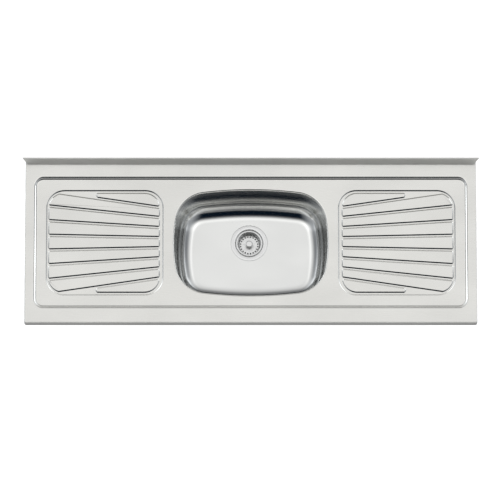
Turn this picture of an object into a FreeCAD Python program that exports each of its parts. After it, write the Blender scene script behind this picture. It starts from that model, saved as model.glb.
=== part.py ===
import FreeCAD, Part
import math
import os
from types import SimpleNamespace

import Sketcher

# Kitchen sink top of pressed stainless steel with one bowl, two drainers and a basket strainer.
# X runs along the front to the right, Y towards the wall, Z up. The row's origin is the middle of the
# rear batten's underside, where the sink lies on its cabinet.

VECTOR = FreeCAD.Vector

# Driving dimensions in millimetres, angles in degrees.
SIZES = {
    # sheet, deck and folded aprons
    "sheet_thickness": 1.0,
    "deck_length": 1400.0,
    "deck_depth": 506.0,
    "apron_height": 30.0,
    "deck_corner_radius": 6.0,
    "fold_radius": 3.0,
    # upstand along the wall
    "upstand_height": 35.0,
    "upstand_depth": 14.0,
    "upstand_lean": 9.0,
    "upstand_foot_inset": 8.5,
    "upstand_front_flare": 7.0,
    "upstand_back_flare": 10.0,
    "upstand_roll_radius": 1.8,
    # recessed panel
    "border_front": 45.5,
    "border_back": 37.0,
    "border_end": 26.0,
    "panel_corner_radius": 32.0,
    "panel_drop": 6.0,
    "panel_step_run": 12.0,
    # drainers
    "drainer_end_margin": 66.0,
    "drainer_bowl_margin": 33.5,
    "drainer_side_margin": 43.75,
    "drainer_corner_radius": 56.0,
    "rim_channel_at_end": 6.5,
    "rim_channel_at_bowl": 11.0,
    "rim_channel_at_side": 8.5,
    "channel_depth": 2.5,
    "channel_flank_run": 2.5,
    "channel_width": 10.0,
    "fan_far_margin": 2.8,
    "fan_near_margin": 56.0,
    # bowl
    "bowl_length": 475.0,
    "bowl_side_margin": 44.25,
    "bowl_corner_radius": 97.0,
    "bowl_side_bow_radius": 1200.0,
    "bowl_end_bow_radius": 465.0,
    "bowl_depth": 150.0,
    "bowl_draft_angle": 5.0,
    "bowl_bottom_radius": 50.0,
    "lip_radius": 5.5,
    "lip_depth": 8.0,
    # seat of the waste in the bowl floor
    "waste_back_margin": 130.5,
    "waste_left_offset": 5.0,
    "waste_seat_radius": 61.0,
    "waste_seat_depth": 3.5,
    "waste_hole_radius": 45.0,
    # battens, stiffeners and pads
    "batten_clearance": 2.5,
    "cross_batten_width": 19.0,
    "cross_batten_bowl_gap": 5.0,
    "stiffener_width": 44.0,
    "stiffener_flange": 12.0,
    "stiffener_height": 16.0,
    "stiffener_thickness": 1.2,
    "pad_thickness": 3.0,
    "drainer_pad_batten_gap": 38.0,
    "drainer_pad_width": 200.0,
    "drainer_pad_gap": 10.0,
    "bowl_pad_length": 80.0,
    "bowl_pad_width": 170.0,
    "bowl_pad_gap": 12.0,
    "bowl_pad_corner_radius": 8.0,
    # strainer body
    "flange_radius": 57.0,
    "flange_thickness": 2.0,
    "flange_edge_chamfer": 0.8,
    "thread_radius": 44.2,
    "thread_length": 24.0,
    "throat_radius": 42.8,
    "throat_chamfer": 0.8,
    "ledge_depth": 4.0,
    "cup_radius": 39.0,
    "cup_wall": 1.8,
    "cup_depth": 50.0,
    "cup_bottom_bevel": 9.0,
    "outlet_radius": 19.5,
    "spigot_radius": 23.8,
    "spigot_length": 26.0,
    "spider_height": 4.0,
    "spider_bar_width": 3.0,
    "spider_hub_radius": 6.5,
    "spider_drop": 5.0,
    # rings and nuts under the bowl
    "flange_gasket_radius": 55.0,
    "ring_bore_clearance": 0.8,
    "under_gasket_radius": 55.0,
    "under_gasket_thickness": 3.0,
    "friction_washer_thickness": 1.0,
    "lock_nut_radius": 51.0,
    "lock_nut_height": 14.0,
    "lock_nut_flange_radius": 54.0,
    "lock_nut_flange_height": 3.0,
    "lock_nut_lug_width": 12.0,
    "lock_nut_lug_reach": 58.0,
    "nut_thread_clearance": 0.2,
    # tailpiece and its nut
    "tailpiece_radius": 19.05,
    "tailpiece_wall": 1.2,
    "tailpiece_length": 100.0,
    "tailpiece_collar_radius": 22.5,
    "tailpiece_collar_height": 3.0,
    "tailpiece_washer_thickness": 2.0,
    "coupling_nut_flat_width": 58.0,
    "coupling_nut_height": 20.0,
    "coupling_nut_floor": 3.0,
    "coupling_nut_tube_clearance": 1.0,
    # basket
    "rest_gap": 0.3,
    "basket_rim_radius": 42.0,
    "basket_rim_height": 2.4,
    "basket_rim_edge": 0.8,
    "basket_wall": 1.0,
    "basket_mouth_radius": 36.0,
    "basket_floor_radius": 31.0,
    "basket_depth": 27.0,
    "basket_hole_radius": 1.8,
    "basket_floor_ring_radius": 27.0,
    "basket_wall_hole_height": 8.0,
    "sleeve_radius": 5.5,
    "sleeve_collar_radius": 8.0,
    "sleeve_collar_height": 1.2,
    "sleeve_rise": 4.0,
    # plunger: knob, stem, seal and nut
    "stem_radius": 3.0,
    "stem_running_clearance": 0.08,
    "stem_tail_radius": 2.4,
    "spider_bore_radius": 4.0,
    "knob_radius": 10.0,
    "knob_waist_radius": 5.5,
    "knob_height": 16.0,
    "knob_head_height": 6.0,
    "knob_edge_chamfer": 1.6,
    "knob_rest_gap": 0.4,
    "knob_socket_depth": 9.0,
    "seal_radius": 25.0,
    "seal_thickness": 4.0,
    "seal_washer_radius": 14.0,
    "seal_washer_thickness": 1.2,
    "stem_nut_radius": 3.8,
    "stem_nut_height": 3.0,
    "stem_nut_chamfer": 0.6,
    "stem_tip_length": 5.0,
    # one overrun for every cut that runs past a face
    "overrun": 2.0,
}

CHANNEL_COUNT = 8
OUTERMOST_CHANNEL = (CHANNEL_COUNT - 1) / 2
OUTER_CHANNEL_START_SHARE = 0.106
WEDGE_END_SHARE = 0.40
BASKET_HOLE_COUNT = 20
LOCK_NUT_LUG_COUNT = 6
SPIDER_BAR_COUNT = 3
PICK_SLACK = 0.01
HALF_TURN = 180
FULL_TURN = 360


class Size:
    """A length in millimetres together with the sheet expression that drives it."""

    def __init__(self, number, text):
        self.number = number
        self.text = text

    def joined(self, other, number, sign):
        return Size(number, "({} {} {})".format(self.text, sign, text_of(other)))

    def __add__(self, other):
        return self.joined(other, self.number + number_of(other), "+")

    def __sub__(self, other):
        return self.joined(other, self.number - number_of(other), "-")

    def __mul__(self, other):
        return self.joined(other, self.number * number_of(other), "*")

    def __truediv__(self, other):
        return self.joined(other, self.number / number_of(other), "/")

    def __neg__(self):
        return Size(-self.number, "(-{})".format(self.text))


def number_of(value):
    return value.number if isinstance(value, Size) else value


def text_of(value):
    return value.text if isinstance(value, Size) else repr(value)


def slope_angle(run, rise):
    """The angle in degrees whose tangent is run over rise."""
    number = math.degrees(math.atan2(run.number, rise.number))
    return Size(number, "atan({} / {})".format(run.text, rise.text))


ZERO = Size(0.0, "0")


def make_sheet(document):
    """Writes the driving dimensions to a spreadsheet and gives them back as sizes by alias."""
    sheet = document.addObject("Spreadsheet::Sheet", "sizes")
    for row, (alias, value) in enumerate(SIZES.items(), start=1):
        sheet.set("A{}".format(row), alias)
        sheet.set("B{}".format(row), str(value))
        sheet.setAlias("B{}".format(row), alias)
    document.recompute()
    return SimpleNamespace(**{alias: Size(float(sheet.get(alias)), "sizes." + alias) for alias in SIZES})


doc = FreeCAD.newDocument("kitchen_sink")
S = make_sheet(doc)

# Levels above the cabinet and places in the deck's own frame, whose middle is X = 0 and Y = 0.
half_length = S.deck_length / 2
half_depth = S.deck_depth / 2
panel_top = S.apron_height - S.panel_drop
panel_underside = panel_top - S.sheet_thickness
seam_level = panel_top - S.lip_depth
floor_top = panel_top - S.bowl_depth
panel_front = S.border_front - half_depth
panel_back = half_depth - S.border_back
panel_middle = (panel_front + panel_back) / 2
panel_half_length = half_length - S.border_end
back_face = half_depth + S.upstand_depth
rear_batten_front = panel_back + S.batten_clearance
rear_batten_back = back_face - S.sheet_thickness - S.batten_clearance
seat_y = (rear_batten_front + rear_batten_back) / 2
drainer_outer_x = half_length - S.drainer_end_margin
bowl_half_length = S.bowl_length / 2
bowl_half_width = (panel_back - panel_front) / 2 - S.bowl_side_margin
cross_inner = bowl_half_length + S.sheet_thickness + S.cross_batten_bowl_gap
cross_outer = cross_inner + S.cross_batten_width
drainer_inner_x = bowl_half_length + S.drainer_bowl_margin
drainer_length = drainer_outer_x - drainer_inner_x
drainer_middle_x = (drainer_outer_x + drainer_inner_x) / 2
drainer_half_width = (panel_back - panel_front) / 2 - S.drainer_side_margin
waste_x = -S.waste_left_offset
waste_y = panel_middle + bowl_half_width - S.waste_back_margin


# Sketch helpers


def add_sketch(body, name, plane="XY_Plane", lift=ZERO):
    """Adds a sketch on one of the body's origin planes, lifted along the plane's normal."""
    sketch = body.newObject("Sketcher::SketchObject", name)
    face = next(item for item in body.Origin.OriginFeatures if item.Role == plane)
    sketch.AttachmentSupport = (face, [""])
    sketch.MapMode = "FlatFace"
    sketch.setExpression("AttachmentOffset.Base.z", lift.text)
    return sketch


def bind_last(sketch, size):
    """Drives the sketch's newest constraint from the sheet."""
    sketch.setExpression("Constraints[{}]".format(sketch.ConstraintCount - 1), size.text)


def pin_point(sketch, geometry, point, x, y):
    """Holds one point of a sketch at X and Y."""
    if x is ZERO:
        sketch.addConstraint(Sketcher.Constraint("PointOnObject", geometry, point, -2))
    else:
        sketch.addConstraint(Sketcher.Constraint("DistanceX", -1, 1, geometry, point, x.number))
        bind_last(sketch, x)
    if y is ZERO:
        sketch.addConstraint(Sketcher.Constraint("PointOnObject", geometry, point, -1))
    else:
        sketch.addConstraint(Sketcher.Constraint("DistanceY", -1, 1, geometry, point, y.number))
        bind_last(sketch, y)


def add_polygon(sketch, corners):
    """Closes straight sides through the corners, each a pair of sizes."""
    first = sketch.GeometryCount
    points = [VECTOR(x.number, y.number, 0) for x, y in corners]
    for start, end in zip(points, points[1:] + points[:1]):
        sketch.addGeometry(Part.LineSegment(start, end))
    for index, (x, y) in enumerate(corners):
        before = first + (index - 1) % len(corners)
        sketch.addConstraint(Sketcher.Constraint("Coincident", before, 2, first + index, 1))
        pin_point(sketch, first + index, 1, x, y)


def add_circle(sketch, x, y, radius):
    centre = VECTOR(x.number, y.number, 0)
    circle = sketch.addGeometry(Part.Circle(centre, VECTOR(0, 0, 1), radius.number))
    pin_point(sketch, circle, 3, x, y)
    sketch.addConstraint(Sketcher.Constraint("Radius", circle, radius.number))
    bind_last(sketch, radius)


def add_arc(sketch, x, y, radius, start, end):
    """Adds an arc about X and Y, from one direction to another in degrees."""
    circle = Part.Circle(VECTOR(x, y, 0), VECTOR(0, 0, 1), radius)
    return sketch.addGeometry(Part.ArcOfCircle(circle, math.radians(start), math.radians(end)))


def add_rounded_rectangle(sketch, low_x, low_y, high_x, high_y, radius):
    """Draws a rectangle between two corners with an arc of the same radius at each corner."""
    first = sketch.GeometryCount
    centres = (
        (high_x - radius, high_y - radius),
        (low_x + radius, high_y - radius),
        (low_x + radius, low_y + radius),
        (high_x - radius, low_y + radius),
    )
    for quarter, (x, y) in enumerate(centres):
        arc = add_arc(sketch, x.number, y.number, radius.number, 90 * quarter, 90 * quarter + 90)
        pin_point(sketch, arc, 3, x, y)
        sketch.addConstraint(Sketcher.Constraint("Radius", arc, radius.number))
        bind_last(sketch, radius)
    for quarter in range(4):
        following = (quarter + 1) % 4
        start = sketch.getPoint(first + quarter, 2)
        end = sketch.getPoint(first + following, 1)
        line = sketch.addGeometry(Part.LineSegment(start, end))
        sketch.addConstraint(Sketcher.Constraint("Tangent", first + quarter, 2, line, 1))
        sketch.addConstraint(Sketcher.Constraint("Tangent", line, 2, first + following, 1))


def add_bowed_outline(sketch, middle_y, growth):
    """Draws the bowl's outline: four shallow bows joined by four corner arcs, grown outwards."""
    half_x = bowl_half_length + growth
    half_y = bowl_half_width + growth
    corner = S.bowl_corner_radius + growth
    side_bow = S.bowl_side_bow_radius + growth
    end_bow = S.bowl_end_bow_radius + growth
    end_centre = half_x - end_bow
    side_centre = half_y - side_bow
    reach_end = end_bow.number - corner.number
    reach_side = side_bow.number - corner.number
    span = math.hypot(end_centre.number, side_centre.number)
    along = (reach_end**2 - reach_side**2 + span**2) / (2 * span)
    across = math.sqrt(reach_end**2 - along**2)
    toward_x = -end_centre.number / span
    toward_y = side_centre.number / span
    corner_x = end_centre.number + along * toward_x - across * toward_y
    corner_y = along * toward_y + across * toward_x
    end_swing = math.degrees(math.atan2(corner_y, corner_x - end_centre.number))
    side_swing = math.degrees(math.atan2(corner_y - side_centre.number, corner_x))
    arcs = (
        (end_centre.number, 0, end_bow, -end_swing, end_swing),
        (corner_x, corner_y, corner, end_swing, side_swing),
        (0, side_centre.number, side_bow, side_swing, HALF_TURN - side_swing),
        (-corner_x, corner_y, corner, HALF_TURN - side_swing, HALF_TURN - end_swing),
        (-end_centre.number, 0, end_bow, HALF_TURN - end_swing, HALF_TURN + end_swing),
        (-corner_x, -corner_y, corner, HALF_TURN + end_swing, HALF_TURN + side_swing),
        (0, -side_centre.number, side_bow, HALF_TURN + side_swing, FULL_TURN - side_swing),
        (corner_x, -corner_y, corner, FULL_TURN - side_swing, FULL_TURN - end_swing),
    )
    first = sketch.GeometryCount
    for x, y, radius, start, end in arcs:
        add_arc(sketch, x, middle_y.number + y, radius.number, start, end)
    right, back, left, front = range(first, first + len(arcs), 2)
    for step in range(len(arcs)):
        following = first + (step + 1) % len(arcs)
        sketch.addConstraint(Sketcher.Constraint("Tangent", first + step, 2, following, 1))
    for arc, x, y in (
        (right, end_centre, middle_y),
        (left, -end_centre, middle_y),
        (back, ZERO, middle_y + side_centre),
        (front, ZERO, middle_y - side_centre),
    ):
        pin_point(sketch, arc, 3, x, y)
    for step, arc in enumerate(arcs):
        radius = arc[2]
        sketch.addConstraint(Sketcher.Constraint("Radius", first + step, radius.number))
        bind_last(sketch, radius)


# Feature helpers


def new_body(name):
    body = doc.addObject("PartDesign::Body", name)
    body.Label = name
    return body


def place(item, x=ZERO, y=ZERO, z=ZERO):
    """Puts a sub-part at a place of the deck's frame, seen from the row's origin."""
    item.setExpression("Placement.Base.x", x.text)
    item.setExpression("Placement.Base.y", (y - seat_y).text)
    item.setExpression("Placement.Base.z", z.text)
    return item


def extrude(body, kind, sketch, length, downwards=False, taper=None):
    """Pads or pockets a sketch by a length along its normal, or against it."""
    feature = body.newObject("PartDesign::" + kind, kind + "_" + sketch.Name)
    feature.Profile = sketch
    feature.setExpression("Length", length.text)
    feature.Reversed = downwards if kind == "Pad" else not downwards
    if taper is not None:
        feature.setExpression("TaperAngle", taper.text)
    doc.recompute()
    return feature


def pad(body, sketch, length, downwards=False, taper=None):
    return extrude(body, "Pad", sketch, length, downwards, taper)


def pocket(body, sketch, length, downwards=True, taper=None):
    return extrude(body, "Pocket", sketch, length, downwards, taper)


def revolve(body, profile, name="profile", kind="Revolution"):
    """Turns a profile of radius and height pairs about the Z axis."""
    sketch = add_sketch(body, name + "_" + body.Name, "XZ_Plane")
    add_polygon(sketch, profile)
    feature = body.newObject("PartDesign::" + kind, kind + "_" + sketch.Name)
    feature.Profile = sketch
    feature.ReferenceAxis = (sketch, ["V_Axis"])
    feature.Angle = FULL_TURN
    doc.recompute()
    return feature


def round_edges(body, radius, wanted):
    """Fillets every edge of the body's present shape that the test picks."""
    base = body.Tip
    names = ["Edge{}".format(n) for n, edge in enumerate(base.Shape.Edges, start=1) if wanted(edge)]
    fillet = body.newObject("PartDesign::Fillet", "Fillet_" + base.Name)
    fillet.Base = (base, names)
    fillet.setExpression("Radius", radius.text)
    doc.recompute()
    return fillet


def lies_at(edge, level):
    """True for an edge that lies flat at a level."""
    box = edge.BoundBox
    return abs(box.ZMin - level.number) < PICK_SLACK and abs(box.ZMax - level.number) < PICK_SLACK


# Pressed sheet


def upstand_outline(body, name, level, front, front_end, back_end, inset):
    """Draws one level of the upstand: a bar whose ends flare towards the wall."""
    sketch = add_sketch(body, name, "XY_Plane", level)
    back = back_face - inset
    front_x = half_length + front_end - inset
    back_x = half_length + back_end - inset
    corners = [(-front_x, front), (front_x, front), (back_x, back), (-back_x, back)]
    add_polygon(sketch, corners)
    return sketch


def add_upstand(body, inset):
    """Lofts the upstand from the deck to its top, leaning towards the wall."""
    deck_level = S.apron_height - inset
    front = half_depth + inset
    foot = upstand_outline(body, "foot", deck_level, front, -S.upstand_foot_inset, ZERO, inset)
    head_level = deck_level + S.upstand_height
    top_front = front + S.upstand_lean
    front_end, back_end = S.upstand_front_flare, S.upstand_back_flare
    head = upstand_outline(body, "head", head_level, top_front, front_end, back_end, inset)
    loft = body.newObject("PartDesign::AdditiveLoft", "upstand")
    loft.Profile = foot
    loft.Sections = [head]
    loft.Ruled = True
    doc.recompute()


def fan_height(number, margin):
    """How far channel centre lines lie from the panel's middle, numbered in halves about 0."""
    return (drainer_half_width - margin) * (number / OUTERMOST_CHANNEL)


def channel_corners(side, number):
    """The four corners of one fanned drainer channel."""
    far_x = drainer_outer_x - S.rim_channel_at_end / 2
    near_x = drainer_inner_x + S.rim_channel_at_bowl / 2
    far_y = panel_middle + fan_height(number, S.fan_far_margin)
    near_y = panel_middle + fan_height(number, S.fan_near_margin)
    if abs(number) == OUTERMOST_CHANNEL:
        far_x = far_x - (far_x - near_x) * OUTER_CHANNEL_START_SHARE
        far_y = far_y - (far_y - near_y) * OUTER_CHANNEL_START_SHARE
    half_width = S.channel_width / 2
    corners = [
        (far_x * side, far_y - half_width),
        (far_x * side, far_y + half_width),
        (near_x * side, near_y + half_width),
        (near_x * side, near_y - half_width),
    ]
    return corners


def wedge_end_corners(side, end):
    """The corners of the gap that blunts a wedge pad between the outer channel and the rim channel."""
    far_x = drainer_outer_x - S.drainer_corner_radius
    wedge_x = drainer_outer_x - drainer_length * WEDGE_END_SHARE
    rim = drainer_half_width - S.rim_channel_at_side / 2
    far_inner = fan_height(OUTERMOST_CHANNEL, S.fan_far_margin)
    near_inner = fan_height(OUTERMOST_CHANNEL, S.fan_near_margin)
    inner = far_inner - (far_inner - near_inner) * WEDGE_END_SHARE
    corners = [
        (far_x * side, panel_middle + rim * end),
        (wedge_x * side, panel_middle + rim * end),
        (wedge_x * side, panel_middle + inner * end),
        (far_x * side, panel_middle + inner * end),
    ]
    return corners


def add_drainer(body, side, level, slope):
    """Presses one drainer: a sunken rim channel round an island that the fanned channels cross."""
    tag = "right" if side > 0 else "left"
    front_y = panel_middle - drainer_half_width
    back_y = panel_middle + drainer_half_width
    low_x, high_x = (drainer_inner_x, drainer_outer_x) if side > 0 else (-drainer_outer_x, -drainer_inner_x)
    low_rim, high_rim = S.rim_channel_at_bowl, S.rim_channel_at_end
    if side < 0:
        low_rim, high_rim = high_rim, low_rim
    outline = add_sketch(body, "drainer_" + tag, "XY_Plane", level)
    add_rounded_rectangle(outline, low_x, front_y, high_x, back_y, S.drainer_corner_radius)
    pocket(body, outline, S.channel_depth, taper=-slope)
    island = add_sketch(body, "island_" + tag, "XY_Plane", level - S.channel_depth)
    rim = S.rim_channel_at_side
    add_rounded_rectangle(
        island, low_x + low_rim, front_y + rim, high_x - high_rim, back_y - rim, S.drainer_corner_radius - rim
    )
    pad(body, island, S.channel_depth, taper=-slope)
    fan = add_sketch(body, "fan_" + tag, "XY_Plane", level)
    for count in range(CHANNEL_COUNT):
        add_polygon(fan, channel_corners(side, count - OUTERMOST_CHANNEL))
    pocket(body, fan, S.channel_depth, taper=-slope)
    wedge_ends = add_sketch(body, "wedge_ends_" + tag, "XY_Plane", level)
    for end in (-1, 1):
        add_polygon(wedge_ends, wedge_end_corners(side, end))
    pocket(body, wedge_ends, S.channel_depth)


def deck_form(name, inset):
    """Models the deck as a solid: the outer face at no inset, the face below it at one sheet's inset."""
    body = new_body(name)
    deck_level = S.apron_height - inset
    panel_level = panel_top - inset
    bottom = ZERO if inset is ZERO else -S.overrun
    slab = add_sketch(body, "slab", "XY_Plane", bottom)
    edge_x = half_length - inset
    front_y = inset - half_depth
    back_y = back_face - inset
    add_polygon(slab, [(-edge_x, front_y), (edge_x, front_y), (edge_x, back_y), (-edge_x, back_y)])
    pad(body, slab, deck_level - bottom)
    round_edges(
        body,
        S.deck_corner_radius - inset,
        lambda edge: edge.BoundBox.ZLength > PICK_SLACK and edge.BoundBox.YMax < 0,
    )
    near_back = back_y.number - PICK_SLACK
    round_edges(
        body,
        S.fold_radius - inset,
        lambda edge: lies_at(edge, deck_level) and edge.BoundBox.YMin < near_back,
    )
    add_upstand(body, inset)
    head_level = deck_level + S.upstand_height
    round_edges(
        body,
        S.upstand_roll_radius - inset / 2,
        lambda edge: lies_at(edge, head_level) and edge.BoundBox.XLength > half_length.number,
    )
    panel = add_sketch(body, "panel", "XY_Plane", deck_level)
    add_rounded_rectangle(
        panel, -panel_half_length, panel_front, panel_half_length, panel_back, S.panel_corner_radius
    )
    pocket(body, panel, S.panel_drop, taper=-slope_angle(S.panel_step_run, S.panel_drop))
    for side in (-1, 1):
        add_drainer(body, side, panel_level, slope_angle(S.channel_flank_run, S.channel_depth))
    opening = add_sketch(body, "opening", "XY_Plane", panel_level)
    add_bowed_outline(opening, panel_middle, inset)
    depth = panel_level + S.overrun if inset is ZERO else S.lip_depth - inset
    pocket(body, opening, depth)
    reach = (bowl_half_length + inset).number + PICK_SLACK
    round_edges(
        body,
        S.lip_radius - inset,
        lambda edge: lies_at(edge, panel_level) and edge.BoundBox.XMin > -reach and edge.BoundBox.XMax < reach,
    )
    return body


def make_sink_top():
    top = doc.addObject("Part::Cut", "sink_top")
    top.Base = deck_form("deck_outer", ZERO)
    top.Tool = deck_form("deck_inner", S.sheet_thickness)
    return place(top)


# Bowl


def bowl_form(name, inset_share):
    """Models the bowl as a solid: its outside at a share of 1 sheet, its inside at 0."""
    body = new_body(name)
    growth = S.sheet_thickness * inset_share
    depth = seam_level - floor_top
    mouth = add_sketch(body, "mouth", "XY_Plane", seam_level)
    add_bowed_outline(mouth, panel_middle, growth)
    pad(body, mouth, depth + growth, downwards=True, taper=-S.bowl_draft_angle)
    foot_level = floor_top - growth
    round_edges(body, S.bowl_bottom_radius + growth, lambda edge: lies_at(edge, foot_level))
    seat = add_sketch(body, "waste_seat", "XY_Plane", foot_level + S.overrun)
    add_circle(seat, waste_x, waste_y, S.waste_seat_radius + growth)
    pad(body, seat, S.waste_seat_depth + S.overrun, downwards=True)
    if inset_share == 0:
        hole = add_sketch(body, "waste_hole", "XY_Plane", foot_level)
        add_circle(hole, waste_x, waste_y, S.waste_hole_radius)
        pad(body, hole, S.waste_seat_depth + S.sheet_thickness + S.overrun, downwards=True)
    return body


def make_bowl():
    bowl = doc.addObject("Part::Cut", "bowl")
    bowl.Base = bowl_form("bowl_outer", 1)
    bowl.Tool = bowl_form("bowl_inner", 0)
    return place(bowl)


# Battens, stiffeners and sound pads


def make_block(name, low_x, low_y, high_x, high_y, low_z, high_z):
    """Makes a plain rectangular block between two corners of the deck's frame."""
    block = doc.addObject("Part::Box", name)
    block.Label = name
    block.setExpression("Length", (high_x - low_x).text)
    block.setExpression("Width", (high_y - low_y).text)
    block.setExpression("Height", (high_z - low_z).text)
    return place(block, low_x, low_y, low_z)


def make_battens():
    """Frames the underside: front, rear and end battens under the border, cross battens by the bowl."""
    border_top = S.apron_height - S.sheet_thickness
    end_outer = half_length - S.sheet_thickness - S.batten_clearance
    end_inner = panel_half_length + S.batten_clearance
    front_outer = S.sheet_thickness + S.batten_clearance - half_depth
    front_inner = panel_front - S.batten_clearance
    front, back = front_inner, rear_batten_front
    battens = [
        make_block("front_batten", -end_outer, front_outer, end_outer, front, ZERO, border_top),
        make_block("rear_batten", -end_outer, back, end_outer, rear_batten_back, ZERO, border_top),
    ]
    for side, low, high in (("left", -end_outer, -end_inner), ("right", end_inner, end_outer)):
        battens.append(make_block(side + "_end_batten", low, front, high, back, ZERO, border_top))
    for side, low, high in (("left", -cross_outer, -cross_inner), ("right", cross_inner, cross_outer)):
        battens.append(make_block(side + "_cross_batten", low, front, high, back, ZERO, panel_underside))
    return battens


def make_stiffener(name, side):
    """Makes a hat section that runs from front to back under the middle of a drainer."""
    body = new_body(name)
    top = panel_underside - S.channel_depth
    crown = S.stiffener_width / 2 - S.stiffener_flange
    foot = top - S.stiffener_height
    wall = S.stiffener_thickness
    profile = add_sketch(body, "hat_" + name, "XZ_Plane")
    half_hat = [
        (crown, top),
        (crown, foot + wall),
        (crown + S.stiffener_flange, foot + wall),
        (crown + S.stiffener_flange, foot),
        (crown - wall, foot),
        (crown - wall, top - wall),
    ]
    add_polygon(profile, half_hat + [(-x, z) for x, z in reversed(half_hat)])
    pad(body, profile, rear_batten_front - panel_front + S.batten_clearance, downwards=True)
    return place(body, drainer_middle_x * side, panel_front - S.batten_clearance)


def make_drainer_pad(name, side):
    """Makes a sound pad under a drainer, between the stiffener and the cross batten."""
    top = panel_underside - S.channel_depth
    outer = drainer_middle_x - S.stiffener_width / 2 - S.drainer_pad_gap
    inner = cross_outer + S.drainer_pad_batten_gap
    low, high = (inner, outer) if side > 0 else (-outer, -inner)
    half_width = S.drainer_pad_width / 2
    low_y, high_y = panel_middle - half_width, panel_middle + half_width
    return make_block(name, low, low_y, high, high_y, top - S.pad_thickness, top)


def make_bowl_pad(name, side):
    """Makes a sound pad with rounded corners under the bowl floor, beside the waste."""
    body = new_body(name)
    near = S.waste_seat_radius + S.sheet_thickness + S.bowl_pad_gap + S.waste_left_offset
    far = near + S.bowl_pad_length
    low, high = (near, far) if side > 0 else (-far, -near)
    half_width = S.bowl_pad_width / 2
    outline = add_sketch(body, "outline_" + name)
    add_rounded_rectangle(outline, low, -half_width, high, half_width, S.bowl_pad_corner_radius)
    pad(body, outline, S.pad_thickness, downwards=True)
    return place(body, ZERO, panel_middle, floor_top - S.sheet_thickness)


# Waste. Heights of these profiles are counted from the upper face of the bowl floor.

flange_underside = -S.flange_thickness
seat_floor = -S.waste_seat_depth
bowl_underside = seat_floor - S.sheet_thickness
washer_top = bowl_underside - S.under_gasket_thickness
nut_top = washer_top - S.friction_washer_thickness
nut_bottom = nut_top - S.lock_nut_height
cup_floor = -S.cup_depth
spigot_top = cup_floor - S.cup_wall
spigot_end = spigot_top - S.spigot_length
collar_top = spigot_end - S.tailpiece_washer_thickness
collar_bottom = collar_top - S.tailpiece_collar_height
rim_underside = S.rest_gap - S.ledge_depth
rim_top = rim_underside + S.basket_rim_height
basket_underside = rim_top - S.basket_depth
basket_floor = basket_underside + S.basket_wall
sleeve_top = basket_floor + S.sleeve_rise
seal_underside = cup_floor + S.rest_gap
seal_top = seal_underside + S.seal_thickness
shoulder = seal_top + S.seal_washer_thickness
knob_underside = sleeve_top + S.knob_rest_gap
knob_top = knob_underside + S.knob_height


def place_waste(item):
    return place(item, waste_x, waste_y, floor_top)


def make_ring(name, inner, outer, bottom, top):
    """Makes a flat ring about the waste axis."""
    body = new_body(name)
    revolve(body, [(inner, bottom), (outer, bottom), (outer, top), (inner, top)])
    return place_waste(body)


def repeat_round(body, feature, count):
    """Repeats a feature evenly about the body's Z axis."""
    pattern = body.newObject("PartDesign::PolarPattern", "round_" + feature.Name)
    pattern.Originals = [feature]
    axis = next(item for item in body.Origin.OriginFeatures if item.Role == "Z_Axis")
    pattern.Axis = (axis, [""])
    pattern.Angle = FULL_TURN
    pattern.Occurrences = count
    body.Tip = pattern
    doc.recompute()
    return pattern


def make_drain_body():
    """Makes the strainer body: flange, threaded barrel, cup, outlet seat and spigot with a guide spider."""
    body = new_body("drain_body")
    inner_bevel = S.cup_radius - S.cup_bottom_bevel
    bevel_top = cup_floor + S.cup_bottom_bevel
    thread_bottom = flange_underside - S.thread_length
    profile = [
        (S.throat_radius + S.throat_chamfer, ZERO),
        (S.throat_radius, -S.throat_chamfer),
        (S.throat_radius, -S.ledge_depth),
        (S.cup_radius, -S.ledge_depth),
        (S.cup_radius, bevel_top),
        (inner_bevel, cup_floor),
        (S.outlet_radius, cup_floor),
        (S.outlet_radius, spigot_end),
        (S.spigot_radius, spigot_end),
        (S.spigot_radius, spigot_top),
        (inner_bevel, spigot_top),
        (S.cup_radius + S.cup_wall, bevel_top),
        (S.cup_radius + S.cup_wall, thread_bottom),
        (S.thread_radius, thread_bottom),
        (S.thread_radius, flange_underside),
        (S.flange_radius, flange_underside),
        (S.flange_radius, -S.flange_edge_chamfer),
        (S.flange_radius - S.flange_edge_chamfer, ZERO),
    ]
    revolve(body, profile)
    spider_bottom = cup_floor - S.spider_drop - S.spider_height
    bar = add_sketch(body, "spider_bar", "XY_Plane", spider_bottom)
    bar_end = (S.outlet_radius + S.spigot_radius) / 2
    half_bar = S.spider_bar_width / 2
    add_polygon(bar, [(ZERO, -half_bar), (bar_end, -half_bar), (bar_end, half_bar), (ZERO, half_bar)])
    repeat_round(body, pad(body, bar, S.spider_height), SPIDER_BAR_COUNT)
    hub = add_sketch(body, "spider_hub", "XY_Plane", spider_bottom)
    add_circle(hub, ZERO, ZERO, S.spider_hub_radius)
    pad(body, hub, S.spider_height)
    bore = add_sketch(body, "spider_bore", "XY_Plane", spider_bottom + S.spider_height + S.overrun)
    add_circle(bore, ZERO, ZERO, S.spider_bore_radius)
    pocket(body, bore, S.spider_height + S.overrun * 2)
    return place_waste(body)


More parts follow.
